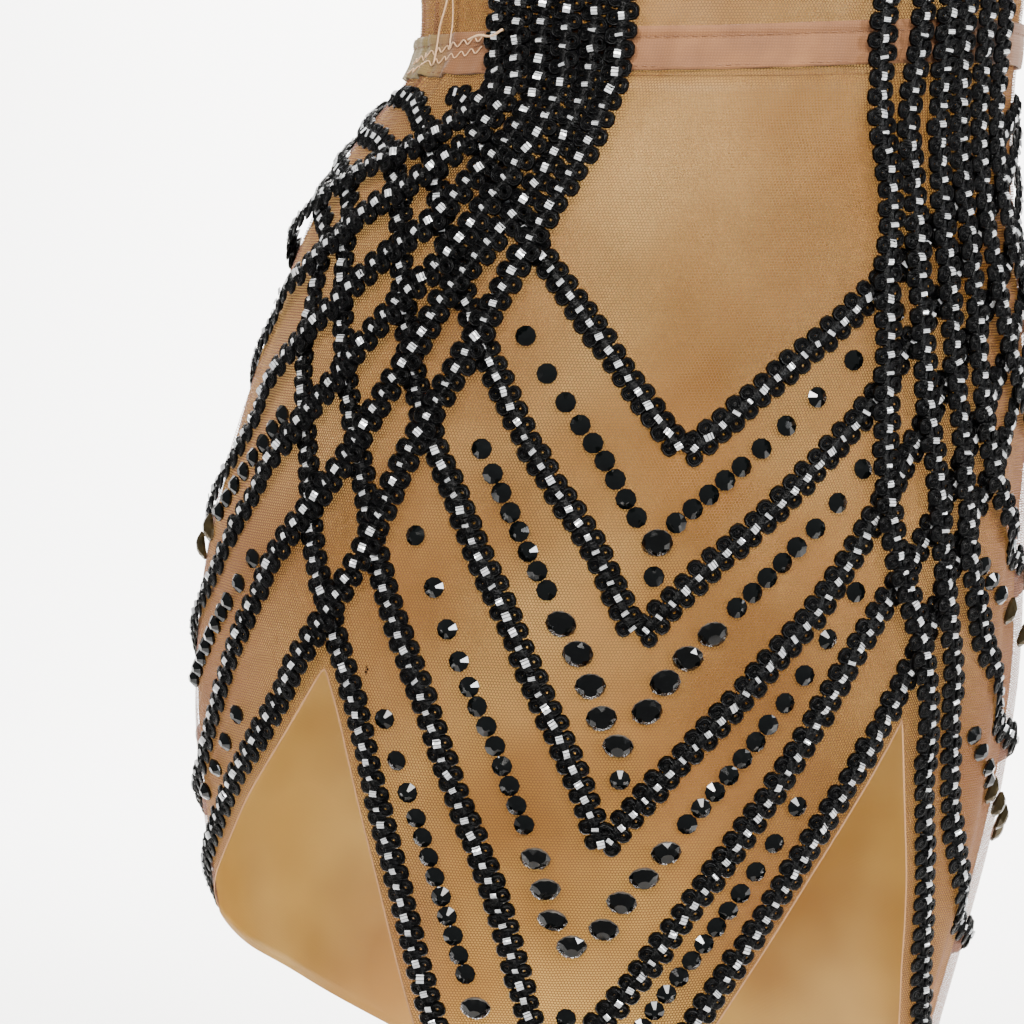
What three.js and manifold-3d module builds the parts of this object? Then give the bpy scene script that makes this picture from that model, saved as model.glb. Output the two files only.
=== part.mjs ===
import * as THREE from 'three';
import { mergeVertices } from 'three/addons/utils/BufferGeometryUtils.js';
import Module from 'manifold-3d';

// Mini dress of sheer mesh with rows of black braid, in its worn form.
// Millimetres, +Z up, front towards -Y, origin on the shoulder line that carries the dress.
// A place on the dress is a turn (degrees from centre front, + to +X) and a height "up"
// from the waist along the cloth; "drop" is the same height counted downwards.

// Driving sizes
const waistBelowShoulder = 400;
const shoulderUp = 440;        // cloth length from the waist to the shoulder seam
const clothWall = 1;
const seamGap = 0.3;
const bandWidth = 16;          // elastic waistband
const bandWall = 1.2;
const bandClear = 0.7;         // from the mesh to the elastic
const bandBelowWaist = 7;
const bandRise = 5;            // of the elastic at the right side seam
const braidWidth = 13;
const braidThick = 2.4;
const braidClear = 1;          // from the mesh to the flat underside of a braid
const braidStep = 18;          // length of one straight stretch of braid
const laneGap = 1.5;           // between braids that run side by side
const crossLift = braidThick + 0.8;  // side rows pass over the front rows
const selvage = 3;             // mesh left showing beyond the edge braid
const strapInner = 20;         // turn of the strap's neck edge at the shoulder
const strapOuter = 47;         // turn of the strap's arm edge at the shoulder
const neckUp = { front: 235, back: 330 };
const armholeUp = 215;
const largeStone = 11.6;       // diameters of the faceted stones
const smallStone = 7.4;
const stoneHeight = 0.42;      // part of the diameter
const stoneSink = 0.8;         // root of a stone inside the mesh wall

// The figure inside the dress: level is the height from the waist, shift is the sway of the hips.
const figure = [
  { up: -520, level: -520, shift: -56, halfWidth: 122, halfDepth: 98 },
  { up: -400, level: -400, shift: -54, halfWidth: 140, halfDepth: 105 },
  { up: -350, level: -350, shift: -53, halfWidth: 151, halfDepth: 109 },
  { up: -300, level: -300, shift: -50, halfWidth: 160, halfDepth: 114 },
  { up: -250, level: -250, shift: -48, halfWidth: 165, halfDepth: 118 },
  { up: -200, level: -200, shift: -45, halfWidth: 164, halfDepth: 116 },
  { up: -150, level: -150, shift: -38, halfWidth: 159, halfDepth: 111 },
  { up: -100, level: -100, shift: -31, halfWidth: 149, halfDepth: 104 },
  { up: -60, level: -60, shift: -25, halfWidth: 139, halfDepth: 98 },
  { up: -30, level: -30, shift: -17, halfWidth: 129, halfDepth: 93 },
  { up: 0, level: 0, shift: -5, halfWidth: 118, halfDepth: 88 },
  { up: 50, level: 50, shift: -2, halfWidth: 121, halfDepth: 91 },
  { up: 100, level: 100, shift: 0, halfWidth: 131, halfDepth: 98 },
  { up: 170, level: 170, shift: 0, halfWidth: 148, halfDepth: 113 },
  { up: 234, level: 233, shift: 0, halfWidth: 159, halfDepth: 106 },
  { up: 293, level: 290, shift: 0, halfWidth: 165, halfDepth: 90 },
  { up: 343, level: 335, shift: 0, halfWidth: 168, halfDepth: 68 },
  { up: 385, level: 368, shift: 0, halfWidth: 168, halfDepth: 42 },
  { up: 421, level: 397.5, shift: 0, halfWidth: 168, halfDepth: 19 },
  { up: shoulderUp, level: waistBelowShoulder, shift: 0, halfWidth: 168, halfDepth: 0.35 },
];

// Front rows: drop of each row at a turn, and the point where its two arms meet.
const frontTips = [
  { turn: 5, drop: 144 },
  { turn: 2, drop: 209 },
  { turn: -1, drop: 286 },
  { turn: -7, drop: 378 },
  { turn: -13, drop: 462 },
];
const frontRows = [
  { turn: -132, row5: 15 },
  { turn: -118, row4: 14, row5: 26 },
  { turn: -104, row3: 14, row4: 25, row5: 37 },
  { turn: -90, row3: 21, row4: 36, row5: 48 },
  { turn: -75, row2: 14, row3: 28, row4: 43, row5: 57 },
  { turn: -65, row2: 16, row3: 31, row4: 50, row5: 68 },
  { turn: -60, row2: 19, row3: 35, row4: 61, row5: 106 },
  { turn: -50, row1: 15, row2: 30, row3: 49, row4: 105, row5: 152 },
  { turn: -45, row1: 19, row2: 39, row3: 66, row4: 127, row5: 182 },
  { turn: -40, row1: 26, row2: 53, row3: 90, row4: 150, row5: 206 },
  { turn: -35, row1: 36, row2: 70, row3: 115, row4: 178, row5: 236 },
  { turn: -30, row1: 47, row2: 87, row3: 137, row4: 204, row5: 289 },
  { turn: -25, row1: 58, row2: 105, row3: 156, row4: 232, row5: 342 },
  { turn: -20, row1: 71, row2: 123, row3: 178, row4: 268, row5: 395 },
  { turn: -15, row1: 84, row2: 142, row3: 200, row4: 304 },
  { turn: -10, row1: 98, row2: 159, row3: 228, row4: 350 },
  { turn: -5, row1: 113, row2: 176, row3: 257 },
  { turn: 0, row4: 354, row5: 411 },
  { turn: 5, row3: 264, row4: 336, row5: 390 },
  { turn: 10, row1: 132, row2: 184, row3: 248, row4: 314, row5: 370 },
  { turn: 15, row1: 120, row2: 171, row3: 233, row4: 292, row5: 349 },
  { turn: 20, row1: 109, row2: 157, row3: 217, row4: 270, row5: 325 },
  { turn: 25, row1: 99, row2: 143, row3: 202, row4: 247, row5: 298 },
  { turn: 30, row1: 88, row2: 130, row3: 180, row4: 224, row5: 274 },
  { turn: 35, row1: 79, row2: 114, row3: 158, row4: 203, row5: 252 },
  { turn: 40, row1: 70, row2: 99, row3: 138, row4: 184, row5: 230 },
  { turn: 45, row1: 60, row2: 86, row3: 121, row4: 165, row5: 207 },
  { turn: 50, row1: 50, row2: 74, row3: 107, row4: 147, row5: 181 },
  { turn: 60, row1: 34, row2: 55, row3: 85, row4: 117, row5: 145 },
  { turn: 75, row1: 19, row2: 36, row3: 60, row4: 86, row5: 110 },
  { turn: 90, row2: 22, row3: 40, row4: 64, row5: 88 },
  { turn: 105, row3: 26, row4: 46, row5: 68 },
  { turn: 120, row3: 14, row4: 29, row5: 48 },
  { turn: 135, row4: 14, row5: 29 },
  { turn: 148, row5: 14 },
];

// Side rows: turn of each row at a drop below the waist, left (-X) and right side.
const leftRows = [
  { drop: 0, row1: 20, row2: 25, row3: 30, row4: 35, row5: 40, row6: 45 },
  { drop: 15, row1: 18, row2: 22.5, row3: 27, row4: 31.5, row5: 36, row6: 40.5 },
  { drop: 30, row1: 17, row2: 21.5, row3: 26, row4: 30.5, row5: 37, row6: 46 },
  { drop: 45, row1: 18, row2: 22.5, row3: 28, row4: 34, row5: 44, row6: 63 },
  { drop: 60, row1: 20, row2: 25, row3: 30.5, row4: 38, row5: 54 },
  { drop: 75, row1: 22, row2: 29, row3: 34, row4: 45.5, row5: 62 },
  { drop: 90, row1: 24, row2: 32.5, row3: 39.5, row4: 52, row5: 72 },
  { drop: 105, row1: 26, row2: 34.5, row3: 44, row4: 59 },
  { drop: 125, row1: 29, row2: 38, row3: 49.5, row4: 67 },
  { drop: 150, row1: 32.5, row2: 42.5, row3: 58, row4: 74 },
  { drop: 175, row1: 35, row2: 49, row3: 65 },
  { drop: 200, row1: 39, row2: 55, row3: 72 },
  { drop: 225, row1: 45, row2: 61 },
  { drop: 250, row1: 52, row2: 67 },
  { drop: 275, row1: 61, row2: 75 },
  { drop: 300, row1: 71 },
];
const rightRows = [
  { drop: 0, row1: 26, row2: 34, row3: 40, row4: 45, row5: 51, row6: 58 },
  { drop: 20, row1: 28.5, row2: 34.5, row3: 41, row4: 46.5, row5: 52, row6: 58.5 },
  { drop: 40, row1: 31.5, row2: 36.5, row3: 42.5, row4: 48, row5: 53.5, row6: 60.5 },
  { drop: 60, row1: 33, row2: 38, row3: 43.5, row4: 49.5, row5: 55, row6: 63 },
  { drop: 80, row1: 32.5, row2: 38.5, row3: 44.5, row4: 50.5, row5: 57, row6: 67 },
  { drop: 105, row1: 33, row2: 39.5, row3: 45.5, row4: 51.5, row5: 60 },
  { drop: 130, row1: 33, row2: 40.5, row3: 47, row4: 53, row5: 67 },
  { drop: 155, row1: 33.5, row2: 42.5, row3: 48.5, row4: 56 },
  { drop: 180, row1: 36, row2: 44.5, row3: 50.5, row4: 63 },
  { drop: 205, row1: 40.5, row2: 47, row3: 54 },
  { drop: 230, row1: 43.5, row2: 49.5, row3: 60 },
  { drop: 255, row1: 45, row2: 51.5, row3: 69 },
  { drop: 280, row1: 47, row2: 53.5 },
  { drop: 305, row1: 50, row2: 58 },
  { drop: 330, row1: 53.5, row2: 65.5 },
  { drop: 355, row1: 57 },
  { drop: 380, row1: 62 },
];
// Drops of the side rows behind the side seams, as they run down to the point at centre back.
const leftBack = [
  { turn: 90, row1: 331, row2: 294, row3: 228, row4: 180, row5: 116, row6: 72 },
  { turn: 120, row1: 376, row2: 331, row3: 263, row4: 210, row5: 146, row6: 95 },
  { turn: 150, row1: 420, row2: 366, row3: 299, row4: 240, row5: 176, row6: 118 },
];
const rightBack = [
  { turn: 90, row1: 404, row2: 354, row3: 274, row4: 206, row5: 150, row6: 98 },
  { turn: 120, row1: 424, row2: 370, row3: 295, row4: 228, row5: 169, row6: 112 },
  { turn: 150, row1: 443, row2: 385, row3: 315, row4: 249, row5: 187, row6: 126 },
];
const backTips = { row1: 462, row2: 400, row3: 335, row4: 270, row5: 205, row6: 140 };
const strapTurns = { row1: 23, row2: 27, row3: 31, row4: 35, row5: 39.5, row6: 44 };

// Stones lie midway between two front rows; each arm starts at the point and walks outwards.
// Of its small stones, the first "close" ones touch or nearly do, and the rest spread out.
// Near the point the line of stones dips lower by "dip", within dipTurn degrees.
const stoneArms = [
  { between: 1, side: -1, first: 1.5, large: 1, small: 10, close: 6, reach: 0.53, dip: 0 },
  { between: 1, side: 1, first: 4.3, large: 0, small: 10, close: 5, reach: 0.43, dip: 0 },
  { between: 2, side: -1, first: 0.5, large: 5, small: 8, close: 7, reach: 0.48, dip: 7 },
  { between: 2, side: 1, first: 14, large: 4, small: 8, close: 5, reach: 0.41, dip: 9 },
  { between: 3, side: -1, first: 1.5, large: 4, small: 12, close: 8, reach: 0.47, dip: 11 },
  { between: 3, side: 1, first: 14, large: 4, small: 11, close: 7, reach: 0.42, dip: 12 },
  { between: 4, side: -1, first: 4, large: 5, small: 12, close: 9, reach: 0.46, dip: 0 },
  { between: 4, side: 1, first: 12, large: 5, small: 12, close: 9, reach: 0.44, dip: 0 },
];
const dipTurn = 5;
const stonesAlone = [{ turn: 3.2, drop: 187 }, { turn: 0.8, drop: 260 }, { turn: -4.5, drop: 352 }];
// Stones between two side rows: evenly down from one drop to another, all of one size.
const stoneFans = [
  { between: 1, side: -1, from: 248, to: 284, small: 4, large: 0, reach: 0.5 },
  { between: 2, side: -1, from: 188, to: 198, small: 2, large: 0, reach: 0.36 },
  { between: 2, side: -1, from: 205.6, to: 241, small: 8, large: 0, reach: 0.38 },
  { between: 2, side: -1, from: 247, to: 261, small: 0, large: 3, reach: 0.45 },
  { between: 3, side: -1, from: 134, to: 174, small: 8, large: 0, reach: 0.45 },
  { between: 3, side: -1, from: 181, to: 205, small: 0, large: 4, reach: 0.45 },
  { between: 4, side: -1, from: 128, to: 146, small: 0, large: 3, reach: 0.5 },
  { between: 3, side: 1, from: 190, to: 202, small: 3, large: 0, reach: 0.22 },
  { between: 3, side: 1, from: 211, to: 222, small: 0, large: 2, reach: 0.34 },
  { between: 2, side: 1, from: 255, to: 276, small: 4, large: 0, reach: 0.3 },
  { between: 2, side: 1, from: 283, to: 304, small: 0, large: 4, reach: 0.34 },
];
const stoneReach = 84;         // degrees; no stone sits nearer the side seams
const largeStep = 12.2;
const smallStep = 7.7;
const stepGrowth = 1.27;       // of each step once the close stones are past

// --- small tools -------------------------------------------------------------------

const radians = THREE.MathUtils.degToRad;

// Smooth curve through one column of a table, by cubic pieces.
function smooth(table, along, column, at) {
  const last = table.length - 1;
  let k = 0;
  while (k < last - 1 && at > table[k + 1][along]) k += 1;
  const slope = (i) => {
    const a = table[Math.max(i - 1, 0)];
    const b = table[Math.min(i + 1, last)];
    return (b[column] - a[column]) / (b[along] - a[along]);
  };
  const from = table[k];
  const to = table[k + 1];
  const span = to[along] - from[along];
  const t = THREE.MathUtils.clamp((at - from[along]) / span, 0, 1);
  const rise = to[column] - from[column];
  const ease = t * t * (3 - 2 * t);
  const bend = t * (1 - t) * ((1 - t) * slope(k) - t * slope(k + 1)) * span;
  return from[column] + rise * ease + bend;
}

// Straight pieces through [x, y] pairs that are sorted by x.
function straight(pairs, x) {
  let k = 0;
  while (k < pairs.length - 2 && x > pairs[k + 1][0]) k += 1;
  const [x0, y0] = pairs[k];
  const [x1, y1] = pairs[k + 1];
  return y0 + (y1 - y0) * THREE.MathUtils.clamp((x - x0) / (x1 - x0), 0, 1);
}

function onFigure(turn, up) {
  const angle = radians(turn);
  return new THREE.Vector3(
    smooth(figure, 'up', 'shift', up) + smooth(figure, 'up', 'halfWidth', up) * Math.sin(angle),
    -smooth(figure, 'up', 'halfDepth', up) * Math.cos(angle),
    smooth(figure, 'up', 'level', up) - waistBelowShoulder,
  );
}

// The two directions of the cloth at a place, per degree and per millimetre, and its normal.
function clothFrame(turn, up) {
  const small = 0.5;
  const low = Math.max(Math.min(up, shoulderUp - small) - small, -520);
  const round = onFigure(turn + small, up).sub(onFigure(turn - small, up)).divideScalar(2 * small);
  const rise = onFigure(turn, low + 2 * small).sub(onFigure(turn, low)).divideScalar(2 * small);
  return { round, rise, normal: round.clone().cross(rise).normalize() };
}

function pointOn(turn, up, out) {
  return onFigure(turn, up).addScaledVector(clothFrame(turn, up).normal, out);
}

function meshFrom(name, points, faces, finish) {
  const geometry = new THREE.BufferGeometry();
  geometry.setAttribute('position', new THREE.Float32BufferAttribute(points.flatMap((p) => p.toArray()), 3));
  geometry.setIndex(faces);
  geometry.computeVertexNormals();
  const mesh = new THREE.Mesh(geometry, new THREE.MeshStandardMaterial(finish));
  mesh.name = name;
  return mesh;
}

const meshFinish = { color: 0xc49a78, roughness: 0.85, metalness: 0 };
const elasticFinish = { color: 0xc08e6e, roughness: 0.9, metalness: 0 };
const braidFinish = { color: 0x0b0b0c, roughness: 0.35, metalness: 0.1 };

// --- cloth panels ------------------------------------------------------------------

// A wall through the heights that upsAt gives at each turn; outer face at "out", wall inwards.
function wallPanel(name, turns, upsAt, out, wall, finish) {
  const points = [];
  const count = turns.length;
  const steps = upsAt(turns[0]).length - 1;
  const index = (i, j, side) => (i * (steps + 1) + j) * 2 + side;
  for (const turn of turns) {
    for (const up of upsAt(turn)) points.push(pointOn(turn, up, out), pointOn(turn, up, out - wall));
  }
  const faces = [];
  const quad = (a, b, c, d) => faces.push(a, b, c, a, c, d);
  for (let i = 0; i < count - 1; i += 1) {
    for (let j = 0; j < steps; j += 1) {
      quad(index(i, j, 0), index(i + 1, j, 0), index(i + 1, j + 1, 0), index(i, j + 1, 0));
      quad(index(i, j, 1), index(i, j + 1, 1), index(i + 1, j + 1, 1), index(i + 1, j, 1));
    }
    quad(index(i, 0, 1), index(i + 1, 0, 1), index(i + 1, 0, 0), index(i, 0, 0));
    quad(index(i, steps, 0), index(i + 1, steps, 0), index(i + 1, steps, 1), index(i, steps, 1));
  }
  for (let j = 0; j < steps; j += 1) {
    quad(index(0, j, 1), index(0, j, 0), index(0, j + 1, 0), index(0, j + 1, 1));
    quad(index(count - 1, j, 0), index(count - 1, j, 1), index(count - 1, j + 1, 1), index(count - 1, j + 1, 0));
  }
  return meshFrom(name, points, faces, finish);
}

// Turns at a regular step from one side seam to the other, with the key turns put in exactly.
function turnsBetween(from, to, step, keys) {
  const turns = [from, ...keys, to];
  for (let turn = Math.ceil(from / step) * step; turn < to; turn += step) {
    if (turns.every((other) => Math.abs(other - turn) > step * 0.4)) turns.push(turn);
  }
  return turns.sort((a, b) => a - b);
}

// --- braid rows --------------------------------------------------------------------

// Smooth route through [turn, up] places, cut into straight stretches of about one length.
function routeThrough(places, step) {
  const spread = 2.2;          // rough millimetres of cloth per degree, so that bends stay even
  const curve = new THREE.CatmullRomCurve3(
    places.map(([turn, up]) => new THREE.Vector3(turn * spread, up, 0)), false, 'centripetal');
  const fine = curve.getPoints(places.length * 12).map((p) => [p.x / spread, p.y]);
  const lengths = [0];
  for (let k = 1; k < fine.length; k += 1) {
    lengths.push(lengths[k - 1] + onFigure(...fine[k]).distanceTo(onFigure(...fine[k - 1])));
  }
  const total = lengths[fine.length - 1];
  const count = Math.max(2, Math.round(total / step));
  const turnsByLength = fine.map((p, k) => [lengths[k], p[0]]);
  const upsByLength = fine.map((p, k) => [lengths[k], p[1]]);
  return Array.from({ length: count + 1 }, (_, k) => [
    straight(turnsByLength, (total * k) / count), straight(upsByLength, (total * k) / count)]);
}

// Unit vector across the braid, in the cloth, for the stretch from one place to the next.
function across(from, to, normal) {
  const along = onFigure(...to).sub(onFigure(...from));
  return along.cross(normal).normalize();
}

// A flat strip along a route. Corners are mitred; the sides follow the cloth's own curve.
function braidStrip(name, route, lift, halfWidths, mirrorEnd) {
  const points = [];
  const last = route.length - 1;
  route.forEach(([turn, up], k) => {
    const { round, rise, normal } = clothFrame(turn, up);
    const before = k > 0 ? across(route[k - 1], route[k], normal) : null;
    let after = k < last ? across(route[k], route[k + 1], normal) : null;
    if (k === last && mirrorEnd) {
      const [previousTurn, previousUp] = route[k - 1];
      after = across(route[k], [2 * turn - previousTurn, previousUp], normal);
    }
    const first = before ?? after;
    const second = after ?? before;
    const mitre = first.clone().add(second).divideScalar(1 + first.dot(second));
    const turnPart = mitre.dot(round) / round.lengthSq();
    const upPart = mitre.clone().addScaledVector(round, -turnPart).dot(rise) / rise.lengthSq();
    for (const side of [-1, 1]) {
      const reach = side * halfWidths[k];
      const sideTurn = turn + turnPart * reach;
      const sideUp = Math.min(up + upPart * reach, shoulderUp);
      const foot = braidClear + lift(turn, up);
      points.push(pointOn(sideTurn, sideUp, foot), pointOn(sideTurn, sideUp, foot + braidThick));
    }
  });
  const faces = [];
  const quad = (a, b, c, d) => faces.push(a, b, c, a, c, d);
  for (let k = 0; k < last; k += 1) {
    const [a, b, c, d] = [4 * k, 4 * k + 1, 4 * k + 3, 4 * k + 2];
    quad(a, b, b + 4, a + 4);
    quad(b, c, c + 4, b + 4);
    quad(c, d, d + 4, c + 4);
    quad(d, a, a + 4, d + 4);
  }
  quad(0, 2, 3, 1);
  quad(4 * last, 4 * last + 1, 4 * last + 3, 4 * last + 2);
  return meshFrom(name, points, faces, braidFinish);
}

function distanceTo(points, place) {
  const here = onFigure(...place);
  return Math.min(...points.map((point) => here.distanceTo(point)));
}

// Half widths along a route: full, or half the way to the nearest neighbour where rows crowd.
function laneWidths(route, neighbours) {
  const others = neighbours.flat().map((other) => onFigure(...other));
  const room = route.map((place) => distanceTo(others, place));
  return route.map((_, k) => {
    const near = Math.min(...room.slice(Math.max(k - 1, 0), k + 2));
    return Math.min(braidWidth, near - laneGap) / 2;
  });
}

function frontPlaces(row) {
  const tip = frontTips[row - 1];
  const column = `row${row}`;
  const clear = 2.5;           // a table row nearer the tip than this is passed over
  const arm = (side) => frontRows
    .filter((r) => r[column] !== undefined && (r.turn - tip.turn) * side > clear)
    .map((r) => [r.turn, -r[column]]);
  return { left: [...arm(-1), [tip.turn, -tip.drop]], right: [[tip.turn, -tip.drop], ...arm(1)] };
}

function frontRoute(row, step) {
  const { left, right } = frontPlaces(row);
  return [...routeThrough(left, step), ...routeThrough(right, step).slice(1)];
}

function sideRoute(row, side, step) {
  const column = `row${row}`;
  const fan = side < 0 ? leftRows : rightRows;
  const back = side < 0 ? leftBack : rightBack;
  const strap = strapTurns[column];
  const waist = fan[0][column];
  const places = [
    [strap, shoulderUp - 2],
    [strap, 380],
    [THREE.MathUtils.lerp(strap, waist, 0.3), 260],
    [THREE.MathUtils.lerp(strap, waist, 0.75), 120],
    [waist, 40],
    ...fan.filter((r) => r[column] !== undefined).map((r) => [r[column], -r.drop]),
    ...back.map((r) => [r.turn, -r[column]]),
    [180 - seamGap / 3, -backTips[column]],
  ];
  return routeThrough(places, step).map(([turn, up]) => [side * turn, up]);
}

const frontLine = [...frontPlaces(5).left, ...frontPlaces(5).right.slice(1)];
const frontLinePoints = frontRoute(5, 4).map((place) => onFigure(...place));
const frontEnds = [frontLine[0][0], frontLine[frontLine.length - 1][0]];

// Side rows lie over the front rows and the elastic, and on the mesh everywhere else.
function sideLift(turn, up) {
  const inFront = turn > frontEnds[0] && turn < frontEnds[1];
  const isBelow = !inFront || up < straight(frontLine, turn);
  const away = isBelow ? distanceTo(frontLinePoints, [turn, up]) : 0;
  const leave = THREE.MathUtils.smoothstep(away, 16, 34);
  const top = THREE.MathUtils.smoothstep(up, 12, 45);
  return crossLift * (1 - Math.max(leave, top));
}

// --- the lower edge ----------------------------------------------------------------

// Places beside a route, on its lower side, where the cut edge of the mesh runs.
function besideRoute(route, reach) {
  return route.slice(1).map((place, k) => {
    const { round, rise, normal } = clothFrame(...place);
    const cross = across(route[k], place, normal);
    if (cross.z > 0) cross.negate();
    const turnPart = cross.dot(round) / round.lengthSq();
    const upPart = cross.dot(rise) / rise.lengthSq();
    return [place[0] + turnPart * reach, -(place[1] + upPart * reach)];
  });
}

const edgeReach = braidWidth / 2 + selvage;
const edgeStep = 9;

function edgeLine(route) {
  return besideRoute(route, edgeReach).sort((a, b) => a[0] - b[0]);
}

function lowerFold(route, from) {
  const start = route.findIndex(([, up]) => -up > from);
  return route.slice(start);
}

const { left: apronLeft, right: apronRight } = frontPlaces(5);
const apronTip = frontTips[4];
const tipReach = edgeReach * 2.2;  // the mesh runs on past a mitred point
const apronEdge = [
  ...edgeLine(routeThrough(apronLeft, edgeStep)).filter(([turn]) => turn < apronTip.turn - 1),
  [apronTip.turn, apronTip.drop + tipReach],
  ...edgeLine(routeThrough(apronRight, edgeStep)).filter(([turn]) => turn > apronTip.turn + 1),
];
const sideEdges = {
  left: edgeLine(lowerFold(sideRoute(1, -1, edgeStep), 120)),
  right: edgeLine(lowerFold(sideRoute(1, 1, edgeStep), 120)),
};
const backTipDrop = backTips.row1 + edgeReach * 1.2;

function sideEdgeAt(turn) {
  const line = turn < 0 ? sideEdges.left : sideEdges.right;
  const first = line[0][0];
  const last = line[line.length - 1][0];
  if (turn < 0) return turn > last ? 0 : straight([[-180, backTipDrop], ...line.slice(1)], turn);
  return turn < first ? 0 : straight([...line.slice(0, -1), [180, backTipDrop]], turn);
}

function apronEdgeAt(turn) {
  const inside = turn > apronEdge[0][0] && turn < apronEdge[apronEdge.length - 1][0];
  return inside ? straight(apronEdge, turn) : 0;
}

function hemDrop(turn) {
  const around = turn > 180 ? turn - 360 : turn;
  return Math.max(apronEdgeAt(around), sideEdgeAt(around));
}

// Turn of a slit's top: where the hem is shortest on that side.
function slitTurn(from, to) {
  let best = from;
  for (let turn = from; turn <= to; turn += 0.25) {
    if (hemDrop(turn) < hemDrop(best)) best = turn;
  }
  return best;
}
const slits = [slitTurn(-55, -30), slitTurn(30, 55)];

// --- bodice edges ------------------------------------------------------------------

function bodiceTop(turn, face) {
  const away = Math.abs(turn);
  if (away <= strapInner) {
    return neckUp[face] + (shoulderUp - neckUp[face]) * (away / strapInner) ** 2.5;
  }
  if (away <= strapOuter) return shoulderUp;
  const along = (away - strapOuter) / (90 - strapOuter);
  return armholeUp + (shoulderUp - armholeUp) * (1 - Math.min(along, 1)) ** 2;
}

// --- stones ------------------------------------------------------------------------

// A faceted stone: a six-sided point on a root that ends inside the mesh wall.
function stoneMesh(turn, up, diameter) {
  const sides = 6;
  const { round, rise, normal } = clothFrame(turn, up);
  const foot = onFigure(turn, up).addScaledVector(normal, -stoneSink);
  const spin = round.clone().normalize();
  const climb = normal.clone().cross(spin);
  const points = Array.from({ length: sides }, (_, k) => {
    const angle = (k / sides) * 2 * Math.PI;
    return foot.clone().addScaledVector(spin, (diameter / 2) * Math.cos(angle))
      .addScaledVector(climb, (diameter / 2) * Math.sin(angle));
  });
  points.push(foot.clone().addScaledVector(normal, stoneSink + diameter * stoneHeight));
  const faces = [];
  for (let k = 0; k < sides; k += 1) {
    faces.push(k, (k + 1) % sides, sides);
    if (k > 1) faces.push(0, k, k - 1);
  }
  return meshFrom('stone', points, faces, braidFinish);
}

// Places of the stones on one arm, midway between its two rows.
function stonePlaces({ between, side, first, large, small, close, reach, dip }) {
  const rows = [between, between + 1].map((row) => {
    const { left, right } = frontPlaces(row);
    return [...left, ...right.slice(1)];
  });
  const tips = [frontTips[between - 1], frontTips[between]];
  const start = THREE.MathUtils.lerp(tips[0].turn, tips[1].turn, 0.5);
  const places = [];
  let turn = start;
  let walked = 0;
  let next = first;
  const upAt = (t) => THREE.MathUtils.lerp(straight(rows[0], t), straight(rows[1], t), reach)
    - dip * Math.max(0, 1 - Math.abs(t - start) / dipTurn);
  let here = onFigure(turn, upAt(turn));
  while (places.length < large + small) {
    if (walked >= next) {
      const isLarge = places.length < large;
      places.push({ turn, up: upAt(turn), diameter: isLarge ? largeStone : smallStone });
      const pastClose = Math.max(places.length - large - close + 1, 0);
      next += isLarge ? largeStep : smallStep * stepGrowth ** pastClose;
    }
    turn += side * 0.1;
    const there = onFigure(turn, upAt(turn));
    walked += there.distanceTo(here);
    here = there;
  }
  return places;
}

function fanPlaces({ between, side, from, to, small, large, reach }) {
  const turnsByDrop = [between, between + 1].map((row) =>
    sideRoute(row, side, 4).filter(([, up]) => up < 0).map(([turn, up]) => [-up, turn]));
  const count = small + large;
  return Array.from({ length: count }, (_, k) => {
    const drop = THREE.MathUtils.lerp(from, to, k / (count - 1));
    const [near, far] = turnsByDrop.map((pairs) => straight(pairs, drop));
    return {
      turn: THREE.MathUtils.lerp(near, far, reach),
      up: -drop,
      diameter: k < small ? smallStone : largeStone,
    };
  });
}

// --- joining with manifold ---------------------------------------------------------

const wasm = await Module();
wasm.setup();

function solidOf(mesh) {
  const bare = new THREE.BufferGeometry();
  bare.setAttribute('position', mesh.geometry.getAttribute('position').clone());
  bare.setIndex(mesh.geometry.getIndex().clone());
  const merged = mergeVertices(bare, 1e-4);
  return new wasm.Manifold(new wasm.Mesh({
    numProp: 3,
    vertProperties: new Float32Array(merged.getAttribute('position').array),
    triVerts: new Uint32Array(merged.getIndex().array),
  }));
}

function withStones(panel, places) {
  let solid = solidOf(panel);
  for (const { turn, up, diameter } of places) solid = solid.add(solidOf(stoneMesh(turn, up, diameter)));
  const { vertProperties, triVerts } = solid.getMesh();
  const geometry = new THREE.BufferGeometry();
  geometry.setAttribute('position', new THREE.Float32BufferAttribute(vertProperties, 3));
  geometry.setIndex(Array.from(triVerts));
  geometry.computeVertexNormals();
  panel.geometry = geometry;
  return panel;
}

// --- the dress ---------------------------------------------------------------------

const dress = new THREE.Group();

const sideSeam = 90 - 0.09;    // half a seam gap short of the side seam
const besideWaist = [seamGap / 2, bandBelowWaist, 16, 27];
const frontKeys = [...slits, apronTip.turn, 52, 57, -22, -17, -9];
const backKeys = [180];
const skirtTurns = {
  front: turnsBetween(-sideSeam, sideSeam, 7, frontKeys),
  back: turnsBetween(180 - sideSeam, 180 + sideSeam, 8, backKeys),
};

// Heights of the skirt's rows, from the hem to the waist; they are closer at the waist.
function skirtUps(turn) {
  const rows = 14;
  const top = besideWaist[besideWaist.length - 1];
  const hanging = Array.from({ length: rows }, (_, j) => THREE.MathUtils.lerp(hemDrop(turn), top, j / rows));
  return [...hanging, ...besideWaist.toReversed()].map((drop) => -drop);
}

function bodiceUps(topAt) {
  const rows = 9;
  const low = [seamGap / 2, bandWidth - bandBelowWaist, 20, 32];
  const first = low[low.length - 1];
  return (turn) => [...low, ...Array.from({ length: rows }, (_, j) =>
    THREE.MathUtils.lerp(first, topAt(turn), (j + 1) / rows))];
}

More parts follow.
